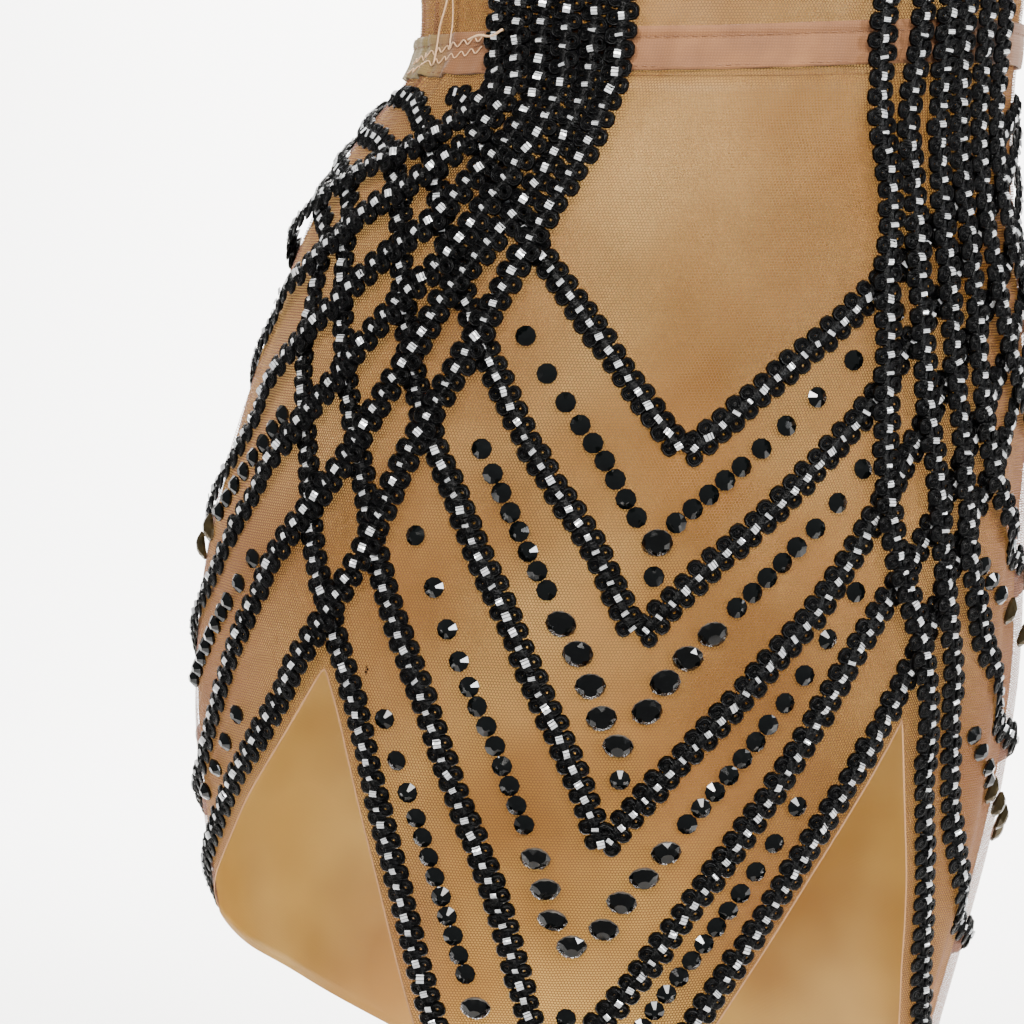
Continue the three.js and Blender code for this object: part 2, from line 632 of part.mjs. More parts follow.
const skirtFront = wallPanel('skirt_front', skirtTurns.front, skirtUps, 0, clothWall, meshFinish);
const alone = stonesAlone.map(({ turn, drop }) => ({ turn, up: -drop, diameter: smallStone }));
const onFront = ({ turn }) => Math.abs(turn) < stoneReach;
const stones = [...stoneArms.flatMap(stonePlaces), ...alone, ...stoneFans.flatMap(fanPlaces)].filter(onFront);
dress.add(withStones(skirtFront, stones));
dress.add(wallPanel('skirt_back', skirtTurns.back, skirtUps, 0, clothWall, meshFinish));

const strapKeys = [6, 11, 15, 18, strapInner, 33, strapOuter, 49, 52, 56, 61, 68, 78];
const bodiceKeys = [...strapKeys.map((turn) => -turn), ...strapKeys];
const bodiceTurns = {
  front: turnsBetween(-sideSeam, sideSeam, 8, bodiceKeys),
  back: turnsBetween(180 - sideSeam, 180 + sideSeam, 8, bodiceKeys.map((turn) => 180 + turn)),
};
dress.add(wallPanel('bodice_front', bodiceTurns.front, bodiceUps((turn) => bodiceTop(turn, 'front')),
  0, clothWall, meshFinish));
dress.add(wallPanel('bodice_back', bodiceTurns.back, bodiceUps((turn) => bodiceTop(turn - 180, 'back')),
  0, clothWall, meshFinish));

// The elastic rides up on the right hip.
function bandUps(turn) {
  const rise = bandRise * THREE.MathUtils.smoothstep(Math.sin(radians(turn)), -0.2, 1);
  return [rise - bandBelowWaist, rise, rise + bandWidth - bandBelowWaist];
}
for (const face of ['front', 'back']) {
  dress.add(wallPanel(`waistband_${face}`, skirtTurns[face], bandUps,
    bandClear + bandWall, bandWall, elasticFinish));
}

const frontRoutes = [1, 2, 3, 4, 5].map((row) => frontRoute(row, braidStep));
frontRoutes.forEach((route, k) => {
  const others = [1, 2, 3, 4, 5].filter((row) => Math.abs(row - k - 1) === 1);
  const widths = laneWidths(route, others.map((row) => frontRoute(row, 3)));
  dress.add(braidStrip(`braid_front_${k + 1}`, route, () => 0, widths, false));
});

for (const [sideName, side] of [['left', -1], ['right', 1]]) {
  for (let row = 1; row <= 6; row += 1) {
    const route = sideRoute(row, side, braidStep);
    const others = [row - 1, row + 1].filter((other) => other >= 1 && other <= 6);
    const widths = laneWidths(route, others.map((other) => sideRoute(other, side, 3)));
    dress.add(braidStrip(`braid_${sideName}_${row}`, route, sideLift, widths, true));
  }
}

export default dress;
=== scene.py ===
import math

import bmesh
import bpy
import numpy as np
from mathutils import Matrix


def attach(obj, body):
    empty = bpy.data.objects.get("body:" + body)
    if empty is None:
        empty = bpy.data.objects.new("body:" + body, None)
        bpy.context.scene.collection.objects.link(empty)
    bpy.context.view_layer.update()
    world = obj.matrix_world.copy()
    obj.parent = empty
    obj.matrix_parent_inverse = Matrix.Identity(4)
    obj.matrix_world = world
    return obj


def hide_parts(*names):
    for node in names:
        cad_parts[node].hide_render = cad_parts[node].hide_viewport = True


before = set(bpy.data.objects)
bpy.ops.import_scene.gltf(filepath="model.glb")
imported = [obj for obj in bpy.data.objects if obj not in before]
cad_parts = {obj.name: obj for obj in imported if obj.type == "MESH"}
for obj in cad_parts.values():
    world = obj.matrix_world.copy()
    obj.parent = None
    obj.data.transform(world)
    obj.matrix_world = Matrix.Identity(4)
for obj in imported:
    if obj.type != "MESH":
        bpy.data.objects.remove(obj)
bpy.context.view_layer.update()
print("frame loaded")

# The form: a place is a turn (degrees from centre front) and a height above the waist, in mm.

form = dict(waistBelowShoulder=400, shoulderUp=440, seamGap=0.3, frontNeckUp=235, backNeckUp=330,
            armholeUp=215, strapInner=20, strapOuter=47, sideSeam=90)
figure = np.array([  # up, level, shift, halfWidth, halfDepth
    (-520, -520, -56, 122, 98), (-400, -400, -54, 140, 105), (-350, -350, -53, 151, 109),
    (-300, -300, -50, 160, 114), (-250, -250, -48, 165, 118), (-200, -200, -45, 164, 116),
    (-150, -150, -38, 159, 111), (-100, -100, -31, 149, 104), (-60, -60, -25, 139, 98),
    (-30, -30, -17, 129, 93), (0, 0, -5, 118, 88), (50, 50, -2, 121, 91), (100, 100, 0, 131, 98),
    (170, 170, 0, 148, 113), (234, 233, 0, 159, 106), (293, 290, 0, 165, 90), (343, 335, 0, 168, 68),
    (385, 368, 0, 168, 42), (421, 397.5, 0, 168, 19), (440, 400, 0, 168, 0.35)])
frontTips = {1: (5, 144), 2: (2, 209), 3: (-1, 286), 4: (-7, 378), 5: (-13, 462)}  # turn, drop
frontRows = [  # drop of each front row at a turn
    dict(turn=-132, row5=15), dict(turn=-118, row4=14, row5=26),
    dict(turn=-104, row3=14, row4=25, row5=37), dict(turn=-90, row3=21, row4=36, row5=48),
    dict(turn=-75, row2=14, row3=28, row4=43, row5=57),
    dict(turn=-65, row2=16, row3=31, row4=50, row5=68),
    dict(turn=-60, row2=19, row3=35, row4=61, row5=106),
    dict(turn=-50, row1=15, row2=30, row3=49, row4=105, row5=152),
    dict(turn=-45, row1=19, row2=39, row3=66, row4=127, row5=182),
    dict(turn=-40, row1=26, row2=53, row3=90, row4=150, row5=206),
    dict(turn=-35, row1=36, row2=70, row3=115, row4=178, row5=236),
    dict(turn=-30, row1=47, row2=87, row3=137, row4=204, row5=289),
    dict(turn=-25, row1=58, row2=105, row3=156, row4=232, row5=342),
    dict(turn=-20, row1=71, row2=123, row3=178, row4=268, row5=395),
    dict(turn=-15, row1=84, row2=142, row3=200, row4=304),
    dict(turn=-10, row1=98, row2=159, row3=228, row4=350),
    dict(turn=-5, row1=113, row2=176, row3=257), dict(turn=0, row4=354, row5=411),
    dict(turn=5, row3=264, row4=336, row5=390),
    dict(turn=10, row1=132, row2=184, row3=248, row4=314, row5=370),
    dict(turn=15, row1=120, row2=171, row3=233, row4=292, row5=349),
    dict(turn=20, row1=109, row2=157, row3=217, row4=270, row5=325),
    dict(turn=25, row1=99, row2=143, row3=202, row4=247, row5=298),
    dict(turn=30, row1=88, row2=130, row3=180, row4=224, row5=274),
    dict(turn=35, row1=79, row2=114, row3=158, row4=203, row5=252),
    dict(turn=40, row1=70, row2=99, row3=138, row4=184, row5=230),
    dict(turn=45, row1=60, row2=86, row3=121, row4=165, row5=207),
    dict(turn=50, row1=50, row2=74, row3=107, row4=147, row5=181),
    dict(turn=60, row1=34, row2=55, row3=85, row4=117, row5=145),
    dict(turn=75, row1=19, row2=36, row3=60, row4=86, row5=110),
    dict(turn=90, row2=22, row3=40, row4=64, row5=88),
    dict(turn=105, row3=26, row4=46, row5=68), dict(turn=120, row3=14, row4=29, row5=48),
    dict(turn=135, row4=14, row5=29), dict(turn=148, row5=14)]
leftRows = [  # drop, then the turns of side rows 1 to 6 towards -X
    (0, 20, 25, 30, 35, 40, 45), (15, 18, 22.5, 27, 31.5, 36, 40.5), (30, 17, 21.5, 26, 30.5, 37, 46),
    (45, 18, 22.5, 28, 34, 44, 63), (60, 20, 25, 30.5, 38, 54), (75, 22, 29, 34, 45.5, 62),
    (90, 24, 32.5, 39.5, 52, 72), (105, 26, 34.5, 44, 59), (125, 29, 38, 49.5, 67),
    (150, 32.5, 42.5, 58, 74), (175, 35, 49, 65), (200, 39, 55, 72), (225, 45, 61), (250, 52, 67),
    (275, 61, 75), (300, 71)]
rightRows = [  # the same towards +X
    (0, 26, 34, 40, 45, 51, 58), (20, 28.5, 34.5, 41, 46.5, 52, 58.5),
    (40, 31.5, 36.5, 42.5, 48, 53.5, 60.5), (60, 33, 38, 43.5, 49.5, 55, 63),
    (80, 32.5, 38.5, 44.5, 50.5, 57, 67), (105, 33, 39.5, 45.5, 51.5, 60), (130, 33, 40.5, 47, 53, 67),
    (155, 33.5, 42.5, 48.5, 56), (180, 36, 44.5, 50.5, 63), (205, 40.5, 47, 54), (230, 43.5, 49.5, 60),
    (255, 45, 51.5, 69), (280, 47, 53.5), (305, 50, 58), (330, 53.5, 65.5), (355, 57), (380, 62)]
leftBack = [(90, 331, 294, 228, 180, 116, 72), (120, 376, 331, 263, 210, 146, 95),  # turn, drops
            (150, 420, 366, 299, 240, 176, 118)]
rightBack = [(90, 404, 354, 274, 206, 150, 98), (120, 424, 370, 295, 228, 169, 112),
             (150, 443, 385, 315, 249, 187, 126)]
backTips = (462, 400, 335, 270, 205, 140)
strapTurns = (23, 27, 31, 35, 39.5, 44)


def smoothAt(up):
    x = figure[:, 0]
    y = figure[:, 1:]
    slope = np.empty_like(y)
    slope[1:-1] = (y[2:] - y[:-2]) / (x[2:] - x[:-2])[:, None]
    slope[0] = (y[1] - y[0]) / (x[1] - x[0])
    slope[-1] = (y[-1] - y[-2]) / (x[-1] - x[-2])
    k = np.clip(np.searchsorted(x, up, side="right") - 1, 0, len(x) - 2)
    span = (x[k + 1] - x[k])[:, None]
    t = np.clip((up[:, None] - x[k][:, None]) / span, 0, 1)
    ease = t * t * (3 - 2 * t)
    bend = t * (1 - t) * ((1 - t) * slope[k] - t * slope[k + 1]) * span
    return (y[k] + (y[k + 1] - y[k]) * ease + bend).T


def onFigure(turn, up):
    turn, up = np.broadcast_arrays(np.atleast_1d(turn).astype(float), np.atleast_1d(up).astype(float))
    level, shift, halfWidth, halfDepth = smoothAt(up)
    angle = np.radians(turn)
    return np.stack([shift + halfWidth * np.sin(angle), -halfDepth * np.cos(angle),
                     level - form["waistBelowShoulder"]], axis=1)


def clothFrame(turn, up):
    turn, up = np.broadcast_arrays(np.atleast_1d(turn).astype(float), np.atleast_1d(up).astype(float))
    low = np.clip(up, -519, form["shoulderUp"] - 0.5) - 0.5
    around = onFigure(turn + 0.5, up) - onFigure(turn - 0.5, up)
    rise = onFigure(turn, low + 1) - onFigure(turn, low)
    normal = np.cross(around, rise)
    return around, rise, normal / np.linalg.norm(normal, axis=1, keepdims=True)


def bump(x, middle, width):
    return np.exp(-((x - middle) / width) ** 2)


def ease(x, low, high):
    t = np.clip((x - low) / (high - low), 0, 1)
    return t * t * (3 - 2 * t)


folds = dict(gather=0.55, gatherCount=56, tuck=1.5, sidePanel=2.6, apron=1.7, back=1.5, bodice=1.1,
             drag=0.5)  # heights in mm, and the number of gathers round the waist


def foldAt(turn, up):  # how far folds lift the cloth off the form, in mm
    turn, up = np.broadcast_arrays(np.asarray(turn, float), np.asarray(up, float))
    a = np.radians(turn)
    t = (turn + 180) % 360 - 180
    drop = -up
    # fine gathers along the elastic
    gather = folds["gather"] * bump(drop, 4, 24) * np.sin(folds["gatherCount"] * a + 1.6 * np.sin(5 * a))
    gather *= 0.55 + 0.45 * np.sin(3 * a + 0.8)
    # tucks above the elastic on the left
    broad, narrow = np.sin(0.62 * t - 0.02 * up), np.sin(1.25 * t + 0.04 * up)
    tuck = folds["tuck"] * bump(t, -67, 15) * (broad + 0.5 * narrow)
    tuck *= ease(up, -22, -4) * (1 - 0.8 * bump(up, 2, 6)) * (1 - 0.7 * ease(up, 30, 150))
    # loose hanging folds of the right panel and of the left side
    panel = folds["sidePanel"] * ease(drop, 90, 200) * (
        bump(t, 61, 4.2) - 0.8 * bump(t, 69, 4.5) + 0.55 * bump(t, 79, 5) - 0.3 * bump(t, 51, 4))
    hidden = folds["sidePanel"] * 0.5 * ease(drop, 120, 260) * (
        bump(t + 0.03 * drop, -96, 6) - 0.7 * bump(t + 0.03 * drop, -108, 7))
    # flutes of the apron and of the back hem
    apron = folds["apron"] * ease(drop, 250, 430) * np.sin(11 * a + 0.018 * drop + 0.7) * bump(t, -8, 38)
    wide, small = np.sin(6 * a + 0.012 * drop), np.sin(13 * a - 0.02 * drop)
    back = folds["back"] * ease(drop, 60, 220) * (wide + 0.5 * small)
    back *= bump(np.abs(t), 180, 75)
    # drag lines over the hips
    drag = folds["drag"] * np.sin(0.055 * drop - 3.5 * a + 0.5 * np.sin(2 * a)) * ease(drop, 10, 60)
    drag *= 1 - 0.6 * ease(drop, 200, 300)
    # soft folds of the bodice from the strap and under the arm
    chest = folds["bodice"] * ease(up, 20, 90) * (1 - ease(up, 330, 430)) * (
        np.sin(0.045 * up + 4 * a) * 0.6 + 0.7 * bump(np.abs(t) - 0.1 * up, 45, 9)
        - 0.5 * bump(np.abs(t), 74, 8))
    return gather + tuck + panel + hidden + apron + back + drag + chest


def pointOn(turn, up, out):  # places on the folded cloth, lifted by out, and their normals
    turn, up = np.broadcast_arrays(np.atleast_1d(turn).astype(float), np.atleast_1d(up).astype(float))
    points = onFigure(turn, up)
    around, rise, normal = clothFrame(turn, up)
    reach = np.broadcast_to(np.asarray(out, float) + foldAt(turn, up), (len(points),))
    slopeRound = (foldAt(turn + 0.5, up) - foldAt(turn - 0.5, up)) / np.sum(around ** 2, axis=1)
    slopeUp = (foldAt(turn, up + 0.5) - foldAt(turn, up - 0.5)) / np.sum(rise ** 2, axis=1)
    tilted = normal - around * slopeRound[:, None] - rise * slopeUp[:, None]
    return points + normal * reach[:, None], tilted / np.linalg.norm(tilted, axis=1, keepdims=True)


# Routes of the braid, as the solids have them.

def centripetal(places, samples):  # a smooth curve through the places
    p = np.array(places, float)
    p = np.vstack([2 * p[0] - p[1], p, 2 * p[-1] - p[-2]])
    curve = []
    for k in range(1, len(p) - 2):
        d = [max(np.linalg.norm(p[j + 1] - p[j]) ** 0.5, 1e-4) for j in (k - 1, k, k + 1)]
        before, here, after = p[k] - p[k - 1], p[k + 1] - p[k], p[k + 2] - p[k + 1]
        t1 = (before / d[0] - (p[k + 1] - p[k - 1]) / (d[0] + d[1]) + here / d[1]) * d[1]
        t2 = (here / d[1] - (p[k + 2] - p[k]) / (d[1] + d[2]) + after / d[2]) * d[1]
        s = np.arange(samples)[:, None] / samples
        curve.append(p[k] + t1 * s + (-3 * p[k] + 3 * p[k + 1] - 2 * t1 - t2) * s ** 2
                     + (2 * p[k] - 2 * p[k + 1] + t1 + t2) * s ** 3)
    return np.vstack(curve + [p[-2:-1]])


def routeThrough(places, step):
    spread = 2.2
    fine = centripetal([(turn * spread, up) for turn, up in places], 14) / (spread, 1)
    there = onFigure(fine[:, 0], fine[:, 1])
    length = np.concatenate([[0], np.cumsum(np.linalg.norm(np.diff(there, axis=0), axis=1))])
    at = np.linspace(0, length[-1], max(3, round(length[-1] / step) + 1))
    return np.stack([np.interp(at, length, fine[:, 0]), np.interp(at, length, fine[:, 1])], axis=1)


def frontArm(row, side):
    tip = frontTips[row]
    column = f"row{row}"
    arm = [(r["turn"], -r[column]) for r in frontRows
           if column in r and (r["turn"] - tip[0]) * side > 2.5]
    return arm + [(tip[0], -tip[1])] if side < 0 else [(tip[0], -tip[1])] + arm


def frontRoute(row, step):
    left = routeThrough(frontArm(row, -1), step)
    right = routeThrough(frontArm(row, 1), step)
    return np.vstack([left, right[1:]])


def sideRoute(row, side, step):
    fan, back = (leftRows, leftBack) if side < 0 else (rightRows, rightBack)
    strap, waist = strapTurns[row - 1], fan[0][row]
    places = [(strap, form["shoulderUp"] - 2), (strap, 380), (strap * 0.7 + waist * 0.3, 260),
              (strap * 0.25 + waist * 0.75, 120), (waist, 40)]
    places += [(r[row], -r[0]) for r in fan if len(r) > row]
    places += [(r[0], -r[row]) for r in back] + [(180 - form["seamGap"] / 3, -backTips[row - 1])]
    return routeThrough(places, step) * (side, 1)


frontLine = np.array(frontArm(5, -1) + frontArm(5, 1)[1:], float)
frontLinePoints = onFigure(*frontRoute(5, 4).T)


def nearest(points, others):
    return np.array([np.min(np.linalg.norm(others - p, axis=1)) for p in points])


def sideLift(turn, up, height=3.2):
    inFront = (turn > frontLine[0, 0]) & (turn < frontLine[-1, 0])
    isBelow = ~inFront | (up < np.interp(turn, frontLine[:, 0], frontLine[:, 1]))
    away = np.where(isBelow, nearest(onFigure(turn, up), frontLinePoints), 0)
    return height * (1 - np.maximum(ease(away, 16, 34), ease(up, 12, 45)))


# Edges of the cloth.

braid = dict(
    width=13.0, left=(5.98, 0.95), right=(6.55, 1.0), side=(6.7, 1.02),  # pitch and size of the lobes
    reach=2.95, shift=1.75, base=1.0, lowest=0.05, seed=7, around=9, rise=0.16, scale=0.12, full=0.86,
    opened=[(0.42, 0.4), (0.9, 1.15), (1.65, 0.75), (2.5, 1.25), (3.3, 0.1)],  # a lobe's radius, height
    closed=[(0.1, 0.4), (0.8, 1.05), (1.6, 0.7), (2.5, 1.25), (3.3, 0.1)],
    strand=0.85, wrapAt=3.1, wrapHalf=2.3, wrapTop=2.2, ribbonHalf=1.6, ribbonThick=0.9,
    coilTilt=0.04, coilTurn=0.12, foilTilt=0.34, foilTurn=0.24, foilSmallest=(0.4, 0.75, 1),
    foilLargest=(1.12, 1.1, 1), foilHalf=1.35, foilLift=1.9, foilThick=0.35,
    slivers=[(-1.4, -0.45, 0.0, 0.32), (-0.2, 0.75, 0.4, 0.22), (1.1, 1.6, 0.3, 0.0)])  # from, to, lifts
edgeReach = braid["width"] / 2 + 3


def edgeLine(route):
    around, rise, normal = clothFrame(route[1:, 0], route[1:, 1])
    there = onFigure(route[:, 0], route[:, 1])
    cross = np.cross(np.diff(there, axis=0), normal)
    cross /= np.linalg.norm(cross, axis=1, keepdims=True)
    cross *= -np.sign(cross[:, 2:3])
    turnPart = np.sum(cross * around, axis=1) / np.sum(around ** 2, axis=1)
    upPart = np.sum(cross * rise, axis=1) / np.sum(rise ** 2, axis=1)
    line = np.stack([route[1:, 0] + turnPart * edgeReach, -(route[1:, 1] + upPart * edgeReach)], axis=1)
    return line[np.argsort(line[:, 0])]


def apronLine():
    tipTurn, tipDrop = frontTips[5]
    left = edgeLine(routeThrough(frontArm(5, -1), 9))
    right = edgeLine(routeThrough(frontArm(5, 1), 9))
    return np.vstack([left[left[:, 0] < tipTurn - 1], [[tipTurn, tipDrop + edgeReach * 2.2]],
                      right[right[:, 0] > tipTurn + 1]])


def sideLine(side):
    route = sideRoute(1, side, 9)
    route = route[np.argmax(-route[:, 1] > 120):]
    line = edgeLine(route)
    tip = [[side * 180, backTips[0] + edgeReach * 1.2]]
    return np.vstack([tip, line[1:]]) if side < 0 else np.vstack([line[:-1], tip])


apronEdge, leftEdge, rightEdge = apronLine(), sideLine(-1), sideLine(1)


def hemDrop(turn):
    t = (np.atleast_1d(turn).astype(float) + 180) % 360 - 180
    apron = np.interp(t, apronEdge[:, 0], apronEdge[:, 1], left=0, right=0)
    side = np.where(t < 0, np.interp(t, leftEdge[:, 0], leftEdge[:, 1], right=0),
                    np.interp(t, rightEdge[:, 0], rightEdge[:, 1], left=0))
    return np.maximum(apron, side)


def bodiceTop(turn, neck):
    away = np.abs(np.atleast_1d(turn).astype(float))
    top = form["shoulderUp"]
    inner, outer, armhole = form["strapInner"], form["strapOuter"], form["armholeUp"]
    throat = neck + (top - neck) * (np.minimum(away, inner) / inner) ** 2.5
    along = np.clip((away - outer) / (form["sideSeam"] - outer), 0, 1)
    arm = armhole + (top - armhole) * (1 - along) ** 2
    return np.where(away <= inner, throat, np.where(away <= outer, top, arm))


# Small makers.

def linear(hexColour):
    value = [int(hexColour[k:k + 2], 16) / 255 for k in (1, 3, 5)]
    return tuple(v / 12.92 if v <= 0.04045 else ((v + 0.055) / 1.055) ** 2.4 for v in value) + (1.0,)


def addNode(tree, kind, settings=None, inputs=None):
    node = tree.nodes.new(kind)
    for key, value in (settings or {}).items():
        setattr(node, key, value)
    for key, value in (inputs or {}).items():
        if isinstance(value, bpy.types.NodeSocket):
            tree.links.new(value, node.inputs[key])
        else:
            node.inputs[key].default_value = value
    return node


def newMaterial(name):
    material = bpy.data.materials.new(name)
    material.use_nodes = True
    tree = material.node_tree
    return material, tree, tree.nodes["Principled BSDF"]


def meshObject(name, points, faces, material=None, uvs=None, values=None):
    mesh = bpy.data.meshes.new(name)
    mesh.from_pydata([tuple(p) for p in np.asarray(points) / 1000], [], faces)
    mesh.polygons.foreach_set("use_smooth", [True] * len(mesh.polygons))
    if uvs is not None:
        layer = mesh.uv_layers.new(name="clothMap")
        corners = np.empty(len(mesh.loops), dtype=np.int32)
        mesh.loops.foreach_get("vertex_index", corners)
        layer.data.foreach_set("uv", (np.asarray(uvs)[corners] / 1000).ravel())
    for key, value in (values or {}).items():
        mesh.attributes.new(key, "FLOAT", "POINT").data.foreach_set("value", np.asarray(value, float))
    if material:
        mesh.materials.append(material)
    piece = bpy.data.objects.new(name, mesh)
    bpy.context.scene.collection.objects.link(piece)
    return piece


def gridFaces(columns, rows):
    return [(i * rows + j, (i + 1) * rows + j, (i + 1) * rows + j + 1, i * rows + j + 1)
            for i in range(columns - 1) for j in range(rows - 1)]


def hardened(piece):
    depsgraph = bpy.context.evaluated_depsgraph_get()
    mesh = bpy.data.meshes.new_from_object(piece.evaluated_get(depsgraph), depsgraph=depsgraph)
    mesh.name = piece.name
    piece.modifiers.clear()
    old = piece.data
    piece.data = mesh
    bpy.data.meshes.remove(old)
    return piece


def place(piece, slot, *nodes):
    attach(piece, "root")
    if nodes:
        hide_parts(*nodes)
    return piece


# Finishes.

# Nylon power net is knitted with open hexagons, so it is see-through, and its yarn is matt.
# The colour turns from tan in front to rose at the sides, and its cut edges are paler.
netLook = dict(pitch=0.00115, hole={0: 0.42, 180: 0.3}, thread="#9c6d43", shade="#74502f", rose="#a87c6c",
               pale="#c9986a", roseFrom=0.11, roseTo=0.18)
# Polyester satin is woven smooth, so its gloss is soft and broad. Its yarn is near 0.1 mm, too fine to
# show, and is drawn at 0.6 mm.
# The third colour and the two heights after it paint shade: a darker olive tint is multiplied in from 0.16
# m to 0.32 m below the waist.
liningLook = dict(dark="#bd8c3e", light="#f6d083", hem="#e3d5ae", shadeFrom=-0.16, shadeTo=-0.32, yarn=0.0006)
waveUnit = 0.314  # metres between the bands of a wave texture at scale 1


def rampColours(tone, low, dark, high, light):
    first, last = tone.color_ramp.elements
    first.position, first.color = low, linear(dark)
    last.position, last.color = high, linear(light)


def makeNet(name, centred):
    material, tree, shader = newMaterial(name)
    hole = netLook["hole"][centred]
    uv = addNode(tree, "ShaderNodeUVMap", dict(uv_map="clothMap")).outputs["UV"]
    stray = addNode(tree, "ShaderNodeTexNoise", None, {"Vector": uv, "Scale": 46.0, "Detail": 2.0})
    pull = addNode(tree, "ShaderNodeVectorMath", dict(operation="MULTIPLY_ADD"), {
        0: stray.outputs["Color"], 1: (0.0016, 0.0016, 0), 2: uv})
    step = 1 / netLook["pitch"]
    wide = (3 ** 0.5, 1, 0) if centred else (1, 3 ** 0.5, 0)
    cells = addNode(tree, "ShaderNodeVectorMath", dict(operation="MULTIPLY"), {
        0: pull.outputs[0], 1: (step / wide[0], step / wide[1], 0)})
    near = []
    for offset in (0.0, 0.5):
        moved = addNode(tree, "ShaderNodeVectorMath", dict(operation="ADD"), {
            0: cells.outputs[0], 1: (offset, offset, 0)})
        part = addNode(tree, "ShaderNodeVectorMath", dict(operation="FRACTION"), {0: moved.outputs[0]})
        middle = addNode(tree, "ShaderNodeVectorMath", dict(operation="SUBTRACT"), {
            0: part.outputs[0], 1: (0.5, 0.5, 0)})
        metric = addNode(tree, "ShaderNodeVectorMath", dict(operation="MULTIPLY"), {
            0: middle.outputs[0], 1: wide})
        near.append(addNode(tree, "ShaderNodeVectorMath", dict(operation="LENGTH"), {
            0: metric.outputs[0]}))
    distance = addNode(tree, "ShaderNodeMath", dict(operation="MINIMUM"), {
        0: near[0].outputs["Value"], 1: near[1].outputs["Value"]})
    thread = addNode(tree, "ShaderNodeMapRange", dict(interpolation_type="SMOOTHSTEP"), {
        "Value": distance.outputs[0], "From Min": hole - 0.04, "From Max": hole + 0.04})
    rim = addNode(tree, "ShaderNodeAttribute", dict(attribute_name="edge"))
    selvage = addNode(tree, "ShaderNodeMapRange", None, {
        "Value": rim.outputs["Fac"], "From Min": 1.0, "From Max": 0.6})
    cover = addNode(tree, "ShaderNodeMath", dict(operation="MAXIMUM"), {
        0: thread.outputs[0], 1: selvage.outputs[0]})
    broad = addNode(tree, "ShaderNodeTexNoise", None, {"Vector": uv, "Scale": 14.0, "Detail": 3.0})
    tone = addNode(tree, "ShaderNodeValToRGB", None, {"Fac": broad.outputs["Fac"]})
    rampColours(tone, 0.3, netLook["shade"], 0.68, netLook["thread"])
    parts = addNode(tree, "ShaderNodeSeparateXYZ", None, {"Vector": uv})
    away = addNode(tree, "ShaderNodeMath", dict(operation="ABSOLUTE"), {0: parts.outputs["X"]})
    aside = addNode(tree, "ShaderNodeMapRange", None, {
        "Value": away.outputs[0], "From Min": netLook["roseFrom"], "From Max": netLook["roseTo"],
        "To Max": 0.7})
    rosy = addNode(tree, "ShaderNodeMix", dict(data_type="RGBA"), {
        0: aside.outputs[0], 6: tone.outputs["Color"], 7: linear(netLook["rose"])})
    light = addNode(tree, "ShaderNodeMix", dict(data_type="RGBA"), {
        0: selvage.outputs[0], 6: rosy.outputs[2], 7: linear(netLook["pale"])})
    relief = addNode(tree, "ShaderNodeBump", None, {
        "Strength": 0.5, "Distance": 0.0002, "Height": distance.outputs[0]})
    tree.links.new(light.outputs[2], shader.inputs["Base Color"])
    tree.links.new(cover.outputs[0], shader.inputs["Alpha"])
    tree.links.new(relief.outputs[0], shader.inputs["Normal"])
    shader.inputs["Roughness"].default_value = 0.75
    shader.inputs["Specular IOR Level"].default_value = 0.2
    return material


def makeLining():
    material, tree, shader = newMaterial("champagne satin lining")
    uv = addNode(tree, "ShaderNodeUVMap", dict(uv_map="clothMap")).outputs["UV"]
    weft = addNode(tree, "ShaderNodeTexWave", dict(bands_direction="Y", wave_profile="SIN"), {
        "Vector": uv, "Scale": waveUnit / liningLook["yarn"], "Distortion": 1.0, "Detail": 1.0})
    broad = addNode(tree, "ShaderNodeTexNoise", None, {"Vector": uv, "Scale": 8.0, "Detail": 3.0})
    tone = addNode(tree, "ShaderNodeValToRGB", None, {"Fac": broad.outputs["Fac"]})
    rampColours(tone, 0.36, liningLook["dark"], 0.62, liningLook["light"])
    lines = addNode(tree, "ShaderNodeBump", None, {
        "Strength": 0.3, "Distance": 0.0001, "Height": weft.outputs["Fac"]})
    # Painted shade: the satin's colour is darkened lower down by the multiplied olive tint.
    height = addNode(tree, "ShaderNodeSeparateXYZ", None, {"Vector": uv})
    lower = addNode(tree, "ShaderNodeMapRange", None, {
        "Value": height.outputs["Y"], "From Min": liningLook["shadeFrom"], "From Max": liningLook["shadeTo"]})
    shadedLow = addNode(tree, "ShaderNodeMix", dict(data_type="RGBA", blend_type="MULTIPLY"), {
        0: lower.outputs[0], 6: tone.outputs["Color"], 7: linear(liningLook["hem"])})
    tree.links.new(shadedLow.outputs[2], shader.inputs["Base Color"])
    tree.links.new(lines.outputs[0], shader.inputs["Normal"])
    shader.inputs["Roughness"].default_value = 0.42
    return material


# Braided rayon cord wound in flat loops: nearly black, with a broken shine on its strands.
cordLook = dict(dark="#010101", light="#050506", specular=0.17, smooth=0.22, rough=0.42, relief=0.0005)


